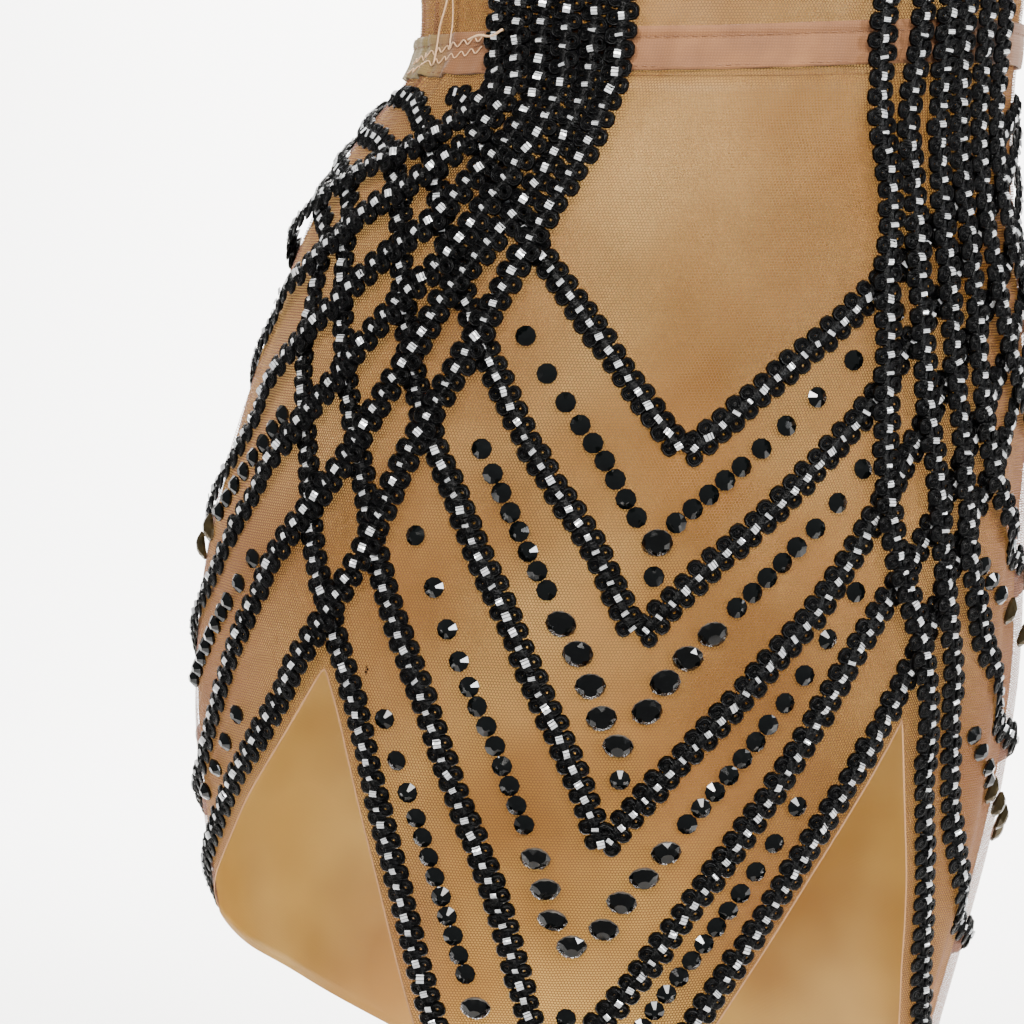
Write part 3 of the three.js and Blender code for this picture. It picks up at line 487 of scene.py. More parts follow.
def makeCord():
    material, tree, shader = newMaterial("coiled black cord")
    spot = addNode(tree, "ShaderNodeTexCoord").outputs["Object"]
    wide = addNode(tree, "ShaderNodeTexNoise", None, {"Vector": spot, "Scale": 90.0, "Detail": 2.0})
    tone = addNode(tree, "ShaderNodeValToRGB", None, {"Fac": wide.outputs["Fac"]})
    rampColours(tone, 0.35, cordLook["dark"], 0.7, cordLook["light"])
    gloss = addNode(tree, "ShaderNodeMapRange", None, {
        "Value": wide.outputs["Fac"], "To Min": cordLook["smooth"], "To Max": cordLook["rough"]})
    fine = addNode(tree, "ShaderNodeTexNoise", None, {"Vector": spot, "Scale": 1400.0, "Detail": 2.0})
    strand = addNode(tree, "ShaderNodeAttribute", dict(attribute_name="strand"))
    turn = addNode(tree, "ShaderNodeMath", dict(operation="MULTIPLY"), {
        0: strand.outputs["Fac"], 1: 2 * math.pi / braid["strand"]})
    ridge = addNode(tree, "ShaderNodeMath", dict(operation="SINE"), {0: turn.outputs[0]})
    height = addNode(tree, "ShaderNodeMath", dict(operation="MULTIPLY_ADD"), {
        0: ridge.outputs[0], 1: 0.5, 2: fine.outputs["Fac"]})
    relief = addNode(tree, "ShaderNodeBump", None, {
        "Strength": 1.0, "Distance": cordLook["relief"], "Height": height.outputs[0]})
    tree.links.new(tone.outputs["Color"], shader.inputs["Base Color"])
    tree.links.new(gloss.outputs[0], shader.inputs["Roughness"])
    tree.links.new(relief.outputs[0], shader.inputs["Normal"])
    shader.inputs["Specular IOR Level"].default_value = cordLook["specular"]
    return material


# Silver foil on a tape: bright and slightly creased, with a metal's flash where it tilts, and painted shade
# that turns it grey towards the edges of each crease cell.
foilLook = dict(bright="#ffffff", shadedGrey="#dcdfe2", creases=500.0, depth=0.0004, metal=0.3, rough=0.2)


def makeFoil():
    material, tree, shader = newMaterial("silver foil")
    spot = addNode(tree, "ShaderNodeTexCoord").outputs["Object"]
    patch = addNode(tree, "ShaderNodeTexVoronoi", None, {"Vector": spot, "Scale": foilLook["creases"]})
    # Painted shade: the colour goes from white to grey with the distance from the middle of each crease
    # cell.
    tone = addNode(tree, "ShaderNodeMix", dict(data_type="RGBA"), {
        0: patch.outputs["Distance"], 6: linear(foilLook["bright"]), 7: linear(foilLook["shadedGrey"])})
    dent = addNode(tree, "ShaderNodeBump", None, {
        "Strength": 0.35, "Distance": foilLook["depth"], "Height": patch.outputs["Distance"]})
    tree.links.new(tone.outputs[2], shader.inputs["Base Color"])
    tree.links.new(dent.outputs[0], shader.inputs["Normal"])
    shader.inputs["Metallic"].default_value = foilLook["metal"]
    shader.inputs["Roughness"].default_value = foilLook["rough"]
    return material


# Faceted resin stones: polished, so each facet mirrors one patch of light, over a cloudy dark body.
def makeStone(name, dark, light, metal, rough, ior):
    material, tree, shader = newMaterial(name)
    spot = addNode(tree, "ShaderNodeTexCoord").outputs["Object"]
    cloud = addNode(tree, "ShaderNodeTexNoise", None, {"Vector": spot, "Scale": 180.0})
    tone = addNode(tree, "ShaderNodeMix", dict(data_type="RGBA"), {
        0: cloud.outputs["Fac"], 6: linear(dark), 7: linear(light)})
    tree.links.new(tone.outputs[2], shader.inputs["Base Color"])
    shader.inputs["Metallic"].default_value = metal
    shader.inputs["Roughness"].default_value = rough
    shader.inputs["IOR"].default_value = ior
    return material


# Woven elastic: matt, ribbed across and along, and bare olive tape at its left end.
elasticLook = dict(dark="#744a2c", light="#96643a", olive="#857040", oliveFrom=-0.112, oliveTo=-0.132,
                   ribs=300.0)  # ribs 1.05 mm apart


def makeElastic():
    material, tree, shader = newMaterial("woven elastic")
    uv = addNode(tree, "ShaderNodeUVMap", dict(uv_map="clothMap")).outputs["UV"]
    ribs = addNode(tree, "ShaderNodeTexWave", dict(bands_direction="Y", wave_profile="SIN"), {
        "Vector": uv, "Scale": elasticLook["ribs"], "Distortion": 0.8, "Detail": 1.0,
        "Detail Scale": 2.0})
    warp = addNode(tree, "ShaderNodeTexWave", dict(bands_direction="X", wave_profile="SIN"), {
        "Vector": uv, "Scale": elasticLook["ribs"], "Distortion": 1.5, "Detail": 1.0})
    both = addNode(tree, "ShaderNodeMath", dict(operation="MULTIPLY"), {
        0: ribs.outputs["Fac"], 1: warp.outputs["Fac"]})
    blot = addNode(tree, "ShaderNodeTexNoise", None, {"Vector": uv, "Scale": 60.0, "Detail": 3.0})
    mixed = addNode(tree, "ShaderNodeMath", dict(operation="MULTIPLY_ADD"), {
        0: both.outputs[0], 1: 0.35, 2: blot.outputs["Fac"]})
    tone = addNode(tree, "ShaderNodeValToRGB", None, {"Fac": mixed.outputs[0]})
    rampColours(tone, 0.3, elasticLook["dark"], 0.9, elasticLook["light"])
    parts = addNode(tree, "ShaderNodeSeparateXYZ", None, {"Vector": uv})
    clear = addNode(tree, "ShaderNodeMapRange", None, {
        "Value": parts.outputs["X"], "From Min": elasticLook["oliveFrom"],
        "From Max": elasticLook["oliveTo"]})
    colour = addNode(tree, "ShaderNodeMix", dict(data_type="RGBA"), {
        0: clear.outputs[0], 6: tone.outputs["Color"], 7: linear(elasticLook["olive"])})
    lines = addNode(tree, "ShaderNodeBump", None, {
        "Strength": 0.5, "Distance": 0.0003, "Height": both.outputs[0]})
    tree.links.new(colour.outputs[2], shader.inputs["Base Color"])
    tree.links.new(lines.outputs[0], shader.inputs["Normal"])
    shader.inputs["Roughness"].default_value = 0.72
    shader.inputs["Sheen Weight"].default_value = 0.2
    return material


# Spun polyester sewing thread: two peach tones along its twist, half matt.
threadLook = dict(dark="#d9a878", light="#f0c9a0", twist=1200.0, rough=0.5)


def makeThread():
    material, tree, shader = newMaterial("peach sewing thread")
    spot = addNode(tree, "ShaderNodeTexCoord").outputs["Object"]
    twist = addNode(tree, "ShaderNodeTexNoise", None, {"Vector": spot, "Scale": threadLook["twist"]})
    tone = addNode(tree, "ShaderNodeMix", dict(data_type="RGBA"), {
        0: twist.outputs["Fac"], 6: linear(threadLook["dark"]), 7: linear(threadLook["light"])})
    tree.links.new(tone.outputs[2], shader.inputs["Base Color"])
    shader.inputs["Roughness"].default_value = threadLook["rough"]
    return material


netFinishes = {0: makeNet("sheer nude net", 0), 180: makeNet("sheer nude net behind", 180)}
liningFinish = makeLining()
cordFinish, foilFinish = makeCord(), makeFoil()
elasticFinish, threadFinish = makeElastic(), makeThread()
jetFinish = makeStone("jet stones", "#020303", "#0a0d0d", 0, 0.06, 1.42)
domeFinish = makeStone("domed jet stones", "#020202", "#090b0b", 0, 0.07, 1.4)
smokeFinish = makeStone("smoky stones", "#0f0e0c", "#5d4f30", 0.5, 0.1, 1.5)
settingFinish = makeStone("silver settings", "#3c3a38", "#95908a", 0.7, 0.4, 1.5)
print("finishes made")

# Cloth shells.

shell = dict(turnStep=1.5, fineStep=0.5, tuckStep=0.75, backStep=1.8, rows=64, wall=0.25)


def arcLength(turn, up):
    steps = 40
    s = np.linspace(0, 1, steps + 1)
    total = np.zeros(len(turn))
    previous = onFigure(turn * 0, up)
    for k in s[1:]:
        here = onFigure(turn * k, up)
        total += np.linalg.norm(here - previous, axis=1)
        previous = here
    return total * np.sign(turn)


def clothShell(name, turns, lowAt, highAt, middle, rimAt):
    rows = shell["rows"]
    turn = np.repeat(turns, rows)
    share = np.tile(np.linspace(0, 1, rows), len(turns))
    low, high = np.repeat(lowAt(turns), rows), np.repeat(highAt(turns), rows)
    up = low + (high - low) * share
    points, _ = pointOn(turn, up, 0)
    around = arcLength(turn - middle, up) if middle == 0 else arcLength(turn - 180, up)
    uvs = np.stack([around, up], axis=1)
    piece = meshObject(name, points, gridFaces(len(turns), rows), netFinishes[middle], uvs,
                       dict(edge=rimAt(turn, up, low, high)))
    solid = piece.modifiers.new("wall", "SOLIDIFY")
    if middle:
        piece.data.materials.append(liningFinish)
        solid.material_offset = 1
    solid.thickness = shell["wall"] / 1000
    solid.offset = -1
    return hardened(piece)


def flatArea(piece):
    mesh = piece.data
    return sum(p.area for p in mesh.polygons) / 2


seam = form["sideSeam"] - 0.09
tuckTurns = np.arange(-80, -50, shell["tuckStep"])  # finer columns under the tucks on the left
frontTurns = np.unique(np.concatenate([
    np.arange(-seam, seam, shell["turnStep"]), [seam, frontTips[5][0]], tuckTurns,
    np.arange(-45, -35, shell["fineStep"]), np.arange(38, 46, shell["fineStep"]),  # tops of the slits
    np.arange(-16, -10, shell["fineStep"])]))  # the apron's point
backTurns = np.concatenate([np.arange(180 - seam, 180 + seam, shell["backStep"]), [180 + seam]])


def hemRim(turn, up, low, high):
    slope = np.abs(np.gradient(hemDrop(np.arange(-181, 182, 0.5)), 0.5 * 2.6))
    t = (turn + 180) % 360 - 180
    steep = np.interp(t, np.arange(-181, 182, 0.5), slope)
    return (up - low) / np.sqrt(1 + steep ** 2)


def topRim(turn, up, low, high):
    return (high - up) * 0.55


def hemUp(turns):
    return -hemDrop(turns)


def skirtTop(turns):
    return np.full(len(turns), -form["seamGap"] / 2)


def bodiceLow(turns):
    return np.full(len(turns), form["seamGap"] / 2)


def frontTop(turns):
    return bodiceTop(turns, form["frontNeckUp"])


def backTop(turns):
    return bodiceTop(turns - 180, form["backNeckUp"])


skirtFront = clothShell("skirt_front_net", frontTurns, hemUp, skirtTop, 0, hemRim)
skirtBack = clothShell("skirt_back_net", backTurns, hemUp, skirtTop, 180, hemRim)
neckTurns = np.arange(14, form["strapInner"], shell["fineStep"])
armTurns = np.arange(form["strapOuter"], 56, shell["fineStep"])
strapEdges = [form["strapInner"], -form["strapInner"], form["strapOuter"], -form["strapOuter"]]
bodiceTurns = np.unique(np.concatenate([np.arange(-seam, seam, shell["turnStep"]), [seam], strapEdges,
                                        neckTurns, -neckTurns, tuckTurns, armTurns, -armTurns]))
bodiceFront = clothShell("bodice_front_net", bodiceTurns, bodiceLow, frontTop, 0, topRim)
bodiceBack = clothShell("bodice_back_net", bodiceTurns + 180, bodiceLow, backTop, 180, topRim)
skirtCut, bodiceCut = (0.47, 0.5), (0.42, 0.46)  # width and length laid flat, in metres
for piece, node, size in ((skirtFront, "skirt_front", skirtCut), (skirtBack, "skirt_back", skirtCut),
                          (bodiceFront, "bodice_front", bodiceCut), (bodiceBack, "bodice_back", bodiceCut)):
    place(piece, "mesh", node)
    print(node, "flat area", round(flatArea(piece), 4))
print("cloth made")

# The elastic.

band = dict(below=7.0, above=9.0, rise=5.0, clear=0.5, thick=1.1, roll=0.55, groove=4.6, stitch=2.3,
            gap=1.1)


def bandRise(turn):
    return band["rise"] * ease(np.sin(np.radians(turn)), -0.2, 1)


def bandSheet(name, turns, middle):
    across = np.linspace(-band["below"], band["above"], 17)
    turn = np.repeat(turns, len(across))
    high = np.tile(across, len(turns))
    crown = band["roll"] * (bump(high, 7, 1.9) + 0.6 * bump(high, -1.5, 5))
    crown -= 0.45 * bump(high, band["groove"], 0.7)
    crown += 0.25 * np.sin(np.radians(turn) * 23 + high * 0.3) * bump(high, -6, 3)
    up = high + bandRise(turn)
    points, _ = pointOn(turn, up, band["clear"] + band["thick"] + crown)
    uvs = np.stack([arcLength(turn - middle, up), up], axis=1)
    piece = meshObject(name, points, gridFaces(len(turns), len(across)), elasticFinish, uvs)
    solid = piece.modifiers.new("wall", "SOLIDIFY")
    solid.thickness = band["thick"] / 1000
    solid.offset = -1
    return hardened(piece)


for face, middle in (("front", 0), ("back", 180)):
    turns = np.linspace(middle - seam, middle + seam, 241)
    half = place(bandSheet(f"elastic_{face}", turns, middle), "elastic", f"waistband_{face}")
print("elastic made")


# Node trees for what repeats.

def treeSockets(tree, wanted):
    for name, kind, value in wanted:
        socket = tree.interface.new_socket(name=name, in_out="INPUT", socket_type=kind)
        if value is not None:
            socket.default_value = value
    tree.interface.new_socket(name="Geometry", in_out="OUTPUT", socket_type="NodeSocketGeometry")


def makeRowTree():
    tree = bpy.data.node_groups.new("things along a row", "GeometryNodeTree")
    treeSockets(tree, [("Guide", "NodeSocketGeometry", None), ("Thing", "NodeSocketObject", None),
                       ("Pitch", "NodeSocketFloat", 0.007), ("Tilt", "NodeSocketFloat", 0.1),
                       ("Turn", "NodeSocketFloat", 0.1),
                       ("Smallest", "NodeSocketVector", (0.95, 0.95, 1)),
                       ("Largest", "NodeSocketVector", (1.05, 1.05, 1)),
                       ("Seed", "NodeSocketInt", 1), ("Finish", "NodeSocketMaterial", None)])
    source = addNode(tree, "NodeGroupInput").outputs
    curve = addNode(tree, "GeometryNodeMeshToCurve", None, {"Mesh": source["Guide"]})
    even = addNode(tree, "GeometryNodeResampleCurve", dict(mode="LENGTH"), {
        "Curve": curve.outputs[0], "Length": source["Pitch"]})
    along = addNode(tree, "GeometryNodeInputTangent")
    upright = addNode(tree, "GeometryNodeInputNamedAttribute", dict(data_type="FLOAT_VECTOR"), {
        "Name": "clothNormal"})
    stand = addNode(tree, "FunctionNodeAxesToRotation", dict(primary_axis="Z", secondary_axis="X"), {
        "Primary Axis": upright.outputs["Attribute"], "Secondary Axis": along.outputs[0]})
    low = addNode(tree, "ShaderNodeCombineXYZ")
    high = addNode(tree, "ShaderNodeCombineXYZ")
    for axis, name in (("X", "Tilt"), ("Y", "Tilt"), ("Z", "Turn")):
        minus = addNode(tree, "ShaderNodeMath", dict(operation="MULTIPLY"), {0: source[name], 1: -1.0})
        tree.links.new(minus.outputs[0], low.inputs[axis])
        tree.links.new(source[name], high.inputs[axis])
    shake = addNode(tree, "FunctionNodeRandomValue", dict(data_type="FLOAT_VECTOR"), {
        0: low.outputs[0], 1: high.outputs[0], "Seed": source["Seed"]})
    turned = addNode(tree, "FunctionNodeRotateRotation", dict(rotation_space="LOCAL"), {
        "Rotation": stand.outputs[0], "Rotate By": shake.outputs[0]})
    size = addNode(tree, "FunctionNodeRandomValue", dict(data_type="FLOAT_VECTOR"), {
        0: source["Smallest"], 1: source["Largest"], "Seed": source["Seed"]})
    thing = addNode(tree, "GeometryNodeObjectInfo", None, {"Object": source["Thing"]})
    many = addNode(tree, "GeometryNodeInstanceOnPoints", None, {
        "Points": even.outputs[0], "Instance": thing.outputs["Geometry"],
        "Rotation": turned.outputs[0], "Scale": size.outputs[0]})
    real = addNode(tree, "GeometryNodeRealizeInstances", None, {"Geometry": many.outputs[0]})
    finish = addNode(tree, "GeometryNodeSetMaterial", None, {
        "Geometry": real.outputs[0], "Material": source["Finish"]})
    addNode(tree, "NodeGroupOutput", None, {0: finish.outputs[0]})
    return tree


def makePointTree():
    tree = bpy.data.node_groups.new("stones on points", "GeometryNodeTree")
    treeSockets(tree, [("Points", "NodeSocketGeometry", None), ("Stone", "NodeSocketObject", None),
                       ("Tilt", "NodeSocketFloat", 0.06), ("Seed", "NodeSocketInt", 1),
                       ("Finish", "NodeSocketMaterial", None)])
    source = addNode(tree, "NodeGroupInput").outputs
    upright = addNode(tree, "GeometryNodeInputNamedAttribute", dict(data_type="FLOAT_VECTOR"), {
        "Name": "clothNormal"})
    along = addNode(tree, "GeometryNodeInputNamedAttribute", dict(data_type="FLOAT_VECTOR"), {
        "Name": "clothAlong"})
    width = addNode(tree, "GeometryNodeInputNamedAttribute", dict(data_type="FLOAT"), {"Name": "width"})
    stand = addNode(tree, "FunctionNodeAxesToRotation", dict(primary_axis="Z", secondary_axis="X"), {
        "Primary Axis": upright.outputs["Attribute"], "Secondary Axis": along.outputs["Attribute"]})
    minus = addNode(tree, "ShaderNodeMath", dict(operation="MULTIPLY"), {0: source["Tilt"], 1: -1.0})
    shake = addNode(tree, "FunctionNodeRandomValue", dict(data_type="FLOAT_VECTOR"), {
        0: minus.outputs[0], 1: source["Tilt"], "Seed": source["Seed"]})
    turned = addNode(tree, "FunctionNodeRotateRotation", dict(rotation_space="LOCAL"), {
        "Rotation": stand.outputs[0], "Rotate By": shake.outputs[0]})
    stone = addNode(tree, "GeometryNodeObjectInfo", None, {"Object": source["Stone"]})
    many = addNode(tree, "GeometryNodeInstanceOnPoints", None, {
        "Points": source["Points"], "Instance": stone.outputs["Geometry"],
        "Rotation": turned.outputs[0], "Scale": width.outputs["Attribute"]})
    real = addNode(tree, "GeometryNodeRealizeInstances", None, {"Geometry": many.outputs[0]})
    finish = addNode(tree, "GeometryNodeSetMaterial", None, {
        "Geometry": real.outputs[0], "Material": source["Finish"]})
    addNode(tree, "NodeGroupOutput", None, {0: finish.outputs[0]})
    return tree


rowTree, pointTree = makeRowTree(), makePointTree()


def treeInputs(modifier, values):
    for item in modifier.node_group.interface.items_tree:
        if item.in_out == "INPUT" and item.name in values:
            modifier[item.identifier] = values[item.name]


def guideMesh(name, points, normals, extra=None, edges=True):
    mesh = bpy.data.meshes.new(name)
    joined = [(k, k + 1) for k in range(len(points) - 1)] if edges else []
    mesh.from_pydata([tuple(p) for p in np.asarray(points) / 1000], joined, [])
    upright = mesh.attributes.new("clothNormal", "FLOAT_VECTOR", "POINT")
    upright.data.foreach_set("vector", np.ravel(normals))
    for key, (kind, field, value) in (extra or {}).items():
        mesh.attributes.new(key, kind, "POINT").data.foreach_set(field, np.ravel(value))
    guide = bpy.data.objects.new(name, mesh)
    bpy.context.scene.collection.objects.link(guide)
    return guide


def alongRow(name, guide, thing, finish, **values):
    modifier = guide.modifiers.new("row", "NODES")
    modifier.node_group = rowTree
    treeInputs(modifier, dict(Thing=thing, Finish=finish, **values))
    guide.name = name
    return hardened(guide)


def removed(*things):
    for thing in things:
        bpy.data.objects.remove(thing)


def joined(name, pieces):
    work = bmesh.new()
    materials = []
    for piece in pieces:
        for material in piece.data.materials:
            if material not in materials:
                materials.append(material)
    mesh = bpy.data.meshes.new(name)
    for material in materials:
        mesh.materials.append(material)
    for piece in pieces:
        part = piece.data.copy()
        index = [materials.index(m) for m in part.materials] or [0]
        kinds = np.empty(len(part.polygons), dtype=np.int32)
        part.polygons.foreach_get("material_index", kinds)
        part.polygons.foreach_set("material_index", np.array(index)[np.minimum(kinds, len(index) - 1)])
        work.from_mesh(part)
        bpy.data.meshes.remove(part)
    work.to_mesh(mesh)
    work.free()
    piece = bpy.data.objects.new(name, mesh)
    bpy.context.scene.collection.objects.link(piece)
    removed(*pieces)
    return piece


# A pair of loops of cord with the cord wound over them between foils, and the foil that shows.

def cordLoop(points, faces, strands, side):
    profile = braid["closed"] if side > 0 else braid["opened"]
    count = len(profile)
    first = len(points)
    for k in range(braid["around"]):
        angle = 2 * math.pi * (k + 0.5) / braid["around"]
        ray = [math.copysign(abs(v) ** braid["full"], v) for v in (math.cos(angle), math.sin(angle))]
        for radius, height in profile:
            along, across = radius * ray[0], side * braid["reach"] + radius * 0.94 * ray[1]
            lift = height + braid["rise"] * (braid["reach"] - abs(across)) + braid["scale"] * along
            points.append((side * braid["shift"] + along, across, max(lift, braid["lowest"])))
            strands.append(radius)
    for k in range(braid["around"]):
        a, b = first + k * count, first + (k + 1) % braid["around"] * count
        for j in range(count):
            n = (j + 1) % count
            faces.append((a + j, a + n, b + n, b + j))


def cordWrap(points, faces, strands):
    first = len(points)
    profile = [(-1.8, -1.2), (-1.2, 0.0), (-0.6, -0.8), (0.0, 0.1), (0.6, -0.8), (1.2, 0.0), (1.8, -1.2)]
    count = len(profile)
    for share, low in ((-1.0, 1.1), (-0.45, 0.0), (0.45, 0.0), (1.0, 1.1)):
        points += [(braid["wrapAt"] + x + 0.6 * share, share * braid["wrapHalf"],
                    braid["wrapTop"] + z - low) for x, z in profile]
        strands += [0] * count
    for k in range(3):
        for j in range(count - 1):
            a = first + k * count + j
            faces.append((a, a + 1, a + count + 1, a + count))
    faces.append(tuple(first + k * count for k in (0, 1, 2, 3)))
    faces.append(tuple(first + k * count + count - 1 for k in (3, 2, 1, 0)))
    faces.append(tuple(first + j for j in range(count - 1, -1, -1)))
    faces.append(tuple(first + 3 * count + j for j in range(count)))


def coilPair():
    points, faces, strands = [], [], []
    for side in (-1, 1):
        cordLoop(points, faces, strands, side)
    cordWrap(points, faces, strands)
    return outwards(meshObject("coil_pair", points, faces, values=dict(strand=strands)))


def foilStrip():
    half = braid["foilHalf"]
    points, faces = [], []
    for low, high, first, last in braid["slivers"]:
        start = len(points)
        for along, lift in ((low, first), (high, last)):
            top = lift + braid["foilThick"]
            points += [(along, -half, lift), (along, half, lift), (along, half, top), (along, -half, top)]
        for j in range(4):
            a, b = start + j, start + (j + 1) % 4
            faces.append((a, b, b + 4, a + 4))
        faces += [(start, start + 3, start + 2, start + 1), (start + 4, start + 5, start + 6, start + 7)]
    return meshFlat("foil_strip", points, faces)


def outwards(piece):
    work = bmesh.new()
    work.from_mesh(piece.data)
    bmesh.ops.recalc_face_normals(work, faces=work.faces)
    work.to_mesh(piece.data)
    work.free()
    return piece


def meshFlat(name, points, faces):
    piece = outwards(meshObject(name, points, faces))
    piece.data.polygons.foreach_set("use_smooth", [False] * len(piece.data.polygons))
    return piece


coils, foil = coilPair(), foilStrip()


def ribbon(name, route, outs, half, thick):
    around, rise, normal = clothFrame(route[:, 0], route[:, 1])
    centre, _ = pointOn(route[:, 0], route[:, 1], outs)
    tangent = np.gradient(centre, axis=0)
    cross = np.cross(tangent, normal)
    cross /= np.linalg.norm(cross, axis=1, keepdims=True)
    rows = []
    for side, lift in ((-1, 0), (-1, 1), (0, 1.25), (1, 1), (1, 0)):
        rows.append(centre + cross * side * half + normal * lift * thick)
    points = np.stack(rows, axis=1).reshape(-1, 3)
    count = len(rows)
    faces = []
    for k in range(len(route) - 1):
        for j in range(count):
            a, b = k * count + j, k * count + (j + 1) % count
            faces.append((a, b, b + count, a + count))
    last = (len(route) - 1) * count
    faces += [tuple(range(count - 1, -1, -1)), tuple(last + j for j in range(count))]
    return meshObject(name, points, faces, cordFinish)


def braidParts(name, route, lift, seed, pitch, size):
    outs = braid["base"] + lift
    centre, normal = pointOn(route[:, 0], route[:, 1], outs)
    coiled = alongRow(name + "_coils", guideMesh(name, centre, normal), coils, cordFinish,
                      Pitch=pitch / 1000, Tilt=braid["coilTilt"], Turn=braid["coilTurn"], Seed=seed,
                      Smallest=(0.95 * size, 0.95 * size, 0.85), Largest=(1.06 * size, 1.05 * size, 1.15))
    top, _ = pointOn(route[:, 0], route[:, 1], outs + braid["foilLift"])
    foils = alongRow(name + "_foils", guideMesh(name + "_top", top, normal), foil, foilFinish,
                     Pitch=pitch / 1000, Tilt=braid["foilTilt"], Turn=braid["foilTurn"], Seed=seed + 40,
                     Smallest=braid["foilSmallest"], Largest=braid["foilLargest"])
    tape = ribbon(name + "_ribbon", route[::2], outs[::2], braid["ribbonHalf"], braid["ribbonThick"])
    return [coiled, foils, tape]


for row in range(1, 6):
    parts = []
    for side, arm in ((-1, "left"), (1, "right")):
        route = routeThrough(frontArm(row, side), 2.0)[::side]
        route = route[1:] if len(route) % 2 else route[2:]
        seed = braid["seed"] + row + 20 * side
        parts += braidParts(f"front_{row}_{arm}", route, np.zeros(len(route)), seed, *braid[arm])
    place(joined(f"front_row_{row}", parts), "braid", f"braid_front_{row}")
for sideName, side in (("left", -1), ("right", 1)):
    for row in range(1, 7):
        route = sideRoute(row, side, 2.0)[::-1]
        route = route if len(route) % 2 else route[:-1]
        lift = sideLift(route[:, 0], route[:, 1]) + 0.7 * (row % 2) * ease(route[:, 1], -150, 0)
        name = f"{sideName}_row_{row}"
        parts = braidParts(name, route, lift, braid["seed"] + 10 * row, *braid["side"])
        place(joined(name + "_braid", parts), "braid", f"braid_{sideName}_{row}")
removed(coils, foil)
print("braid made")

# Faceted stones.

stone = dict(small=7.4, large=11.6, largeStep=12.2, smallStep=7.7, growth=1.27, lean=33, backStep=21,
             dipTurn=5, reach=84, clothGap=0.5, tilt=0.1, pointedSize=1.05, settingSize=0.98)
stoneArms = [  # between rows, side, first, large, small, close, share of the way down, dip at the point
    (1, -1, 1.5, 1, 10, 6, 0.53, 0), (1, 1, 4.3, 0, 10, 5, 0.43, 0), (2, -1, 0.5, 5, 8, 7, 0.48, 7),
    (2, 1, 14, 4, 8, 5, 0.41, 9), (3, -1, 1.5, 4, 12, 8, 0.47, 11), (3, 1, 14, 4, 11, 7, 0.42, 12),
    (4, -1, 4, 5, 12, 9, 0.46, 0), (4, 1, 12, 5, 12, 9, 0.44, 0)]
stonesAlone = [(3.2, 187), (0.8, 260), (-4.5, 352)]  # turn, drop
stoneFans = [  # between side rows, side, from drop, to drop, small, large, share
    (1, -1, 248, 284, 4, 0, 0.5), (2, -1, 188, 198, 2, 0, 0.36), (2, -1, 205.6, 241, 8, 0, 0.38),
    (2, -1, 247, 261, 0, 3, 0.45), (3, -1, 134, 174, 8, 0, 0.45), (3, -1, 181, 205, 0, 4, 0.45),
    (4, -1, 128, 146, 0, 3, 0.5), (3, 1, 190, 202, 3, 0, 0.22), (3, 1, 211, 222, 0, 2, 0.34),
    (2, 1, 255, 276, 4, 0, 0.3), (2, 1, 283, 304, 0, 4, 0.34)]


def armPlaces():
    places = []
    for between, side, first, large, small, close, share, dip in stoneArms:
        rows = [np.array(frontArm(row, -1) + frontArm(row, 1)[1:], float)
                for row in (between, between + 1)]
        start = (frontTips[between][0] + frontTips[between + 1][0]) / 2
        turns = start + side * np.arange(0, 90, 0.1)
        ups = sum(np.interp(turns, r[:, 0], r[:, 1]) * w for r, w in zip(rows, (1 - share, share)))
        ups = ups - dip * np.maximum(0, 1 - np.abs(turns - start) / stone["dipTurn"])
        there = onFigure(turns, ups)
        walked = np.concatenate([[0], np.cumsum(np.linalg.norm(np.diff(there, axis=0), axis=1))])
        at = first
        for k in range(large + small):
            isLarge = k < large
            places.append((np.interp(at, walked, turns), np.interp(at, walked, ups),
                           stone["large"] if isLarge else stone["small"], stone["lean"] if isLarge else 0))
            pastClose = max(k + 2 - large - close, 0)
            at += stone["largeStep"] if isLarge else stone["smallStep"] * stone["growth"] ** pastClose
    return np.array(places + [(turn, -drop, stone["small"], 0) for turn, drop in stonesAlone])


def fanPlaces():
    places = []
    for between, side, low, high, small, large, share in stoneFans:
        routes = [sideRoute(row, side, 4) for row in (between, between + 1)]
        for k, drop in enumerate(np.linspace(low, high, small + large)):
            ends = []
            for route in routes:
                below = route[route[:, 1] < 0]
                ends.append(np.interp(drop, -below[:, 1], below[:, 0]))
            places.append((ends[0] * (1 - share) + ends[1] * share, -drop,
                           stone["small"] if k < small else stone["large"], 12))
    return np.array([p for p in places if abs(p[0]) < stone["reach"]])


def backPlaces():
    places = []
    for side in (-1, 1):
        for row in (1, 2, 3):
            upper, lower = sideRoute(row + 1, side, 4), sideRoute(row, side, 4)
            turns = side * np.arange(98, 176, 1.0)
            lines = []
            for route in (upper, lower):
                behind = route[np.abs(route[:, 0]) > 80]
                order = np.argsort(behind[:, 0])
                lines.append(np.interp(turns, behind[order, 0], behind[order, 1]))
            ups = (lines[0] + lines[1]) / 2
            there = onFigure(turns, ups)
            walked = np.concatenate([[0], np.cumsum(np.linalg.norm(np.diff(there, axis=0), axis=1))])
            for k, at in enumerate(np.arange(4, walked[-1], stone["backStep"])):
                places.append((np.interp(at, walked, turns), np.interp(at, walked, ups),
                               stone["small"] if k % 3 else stone["large"], 0))
    return np.array(places)


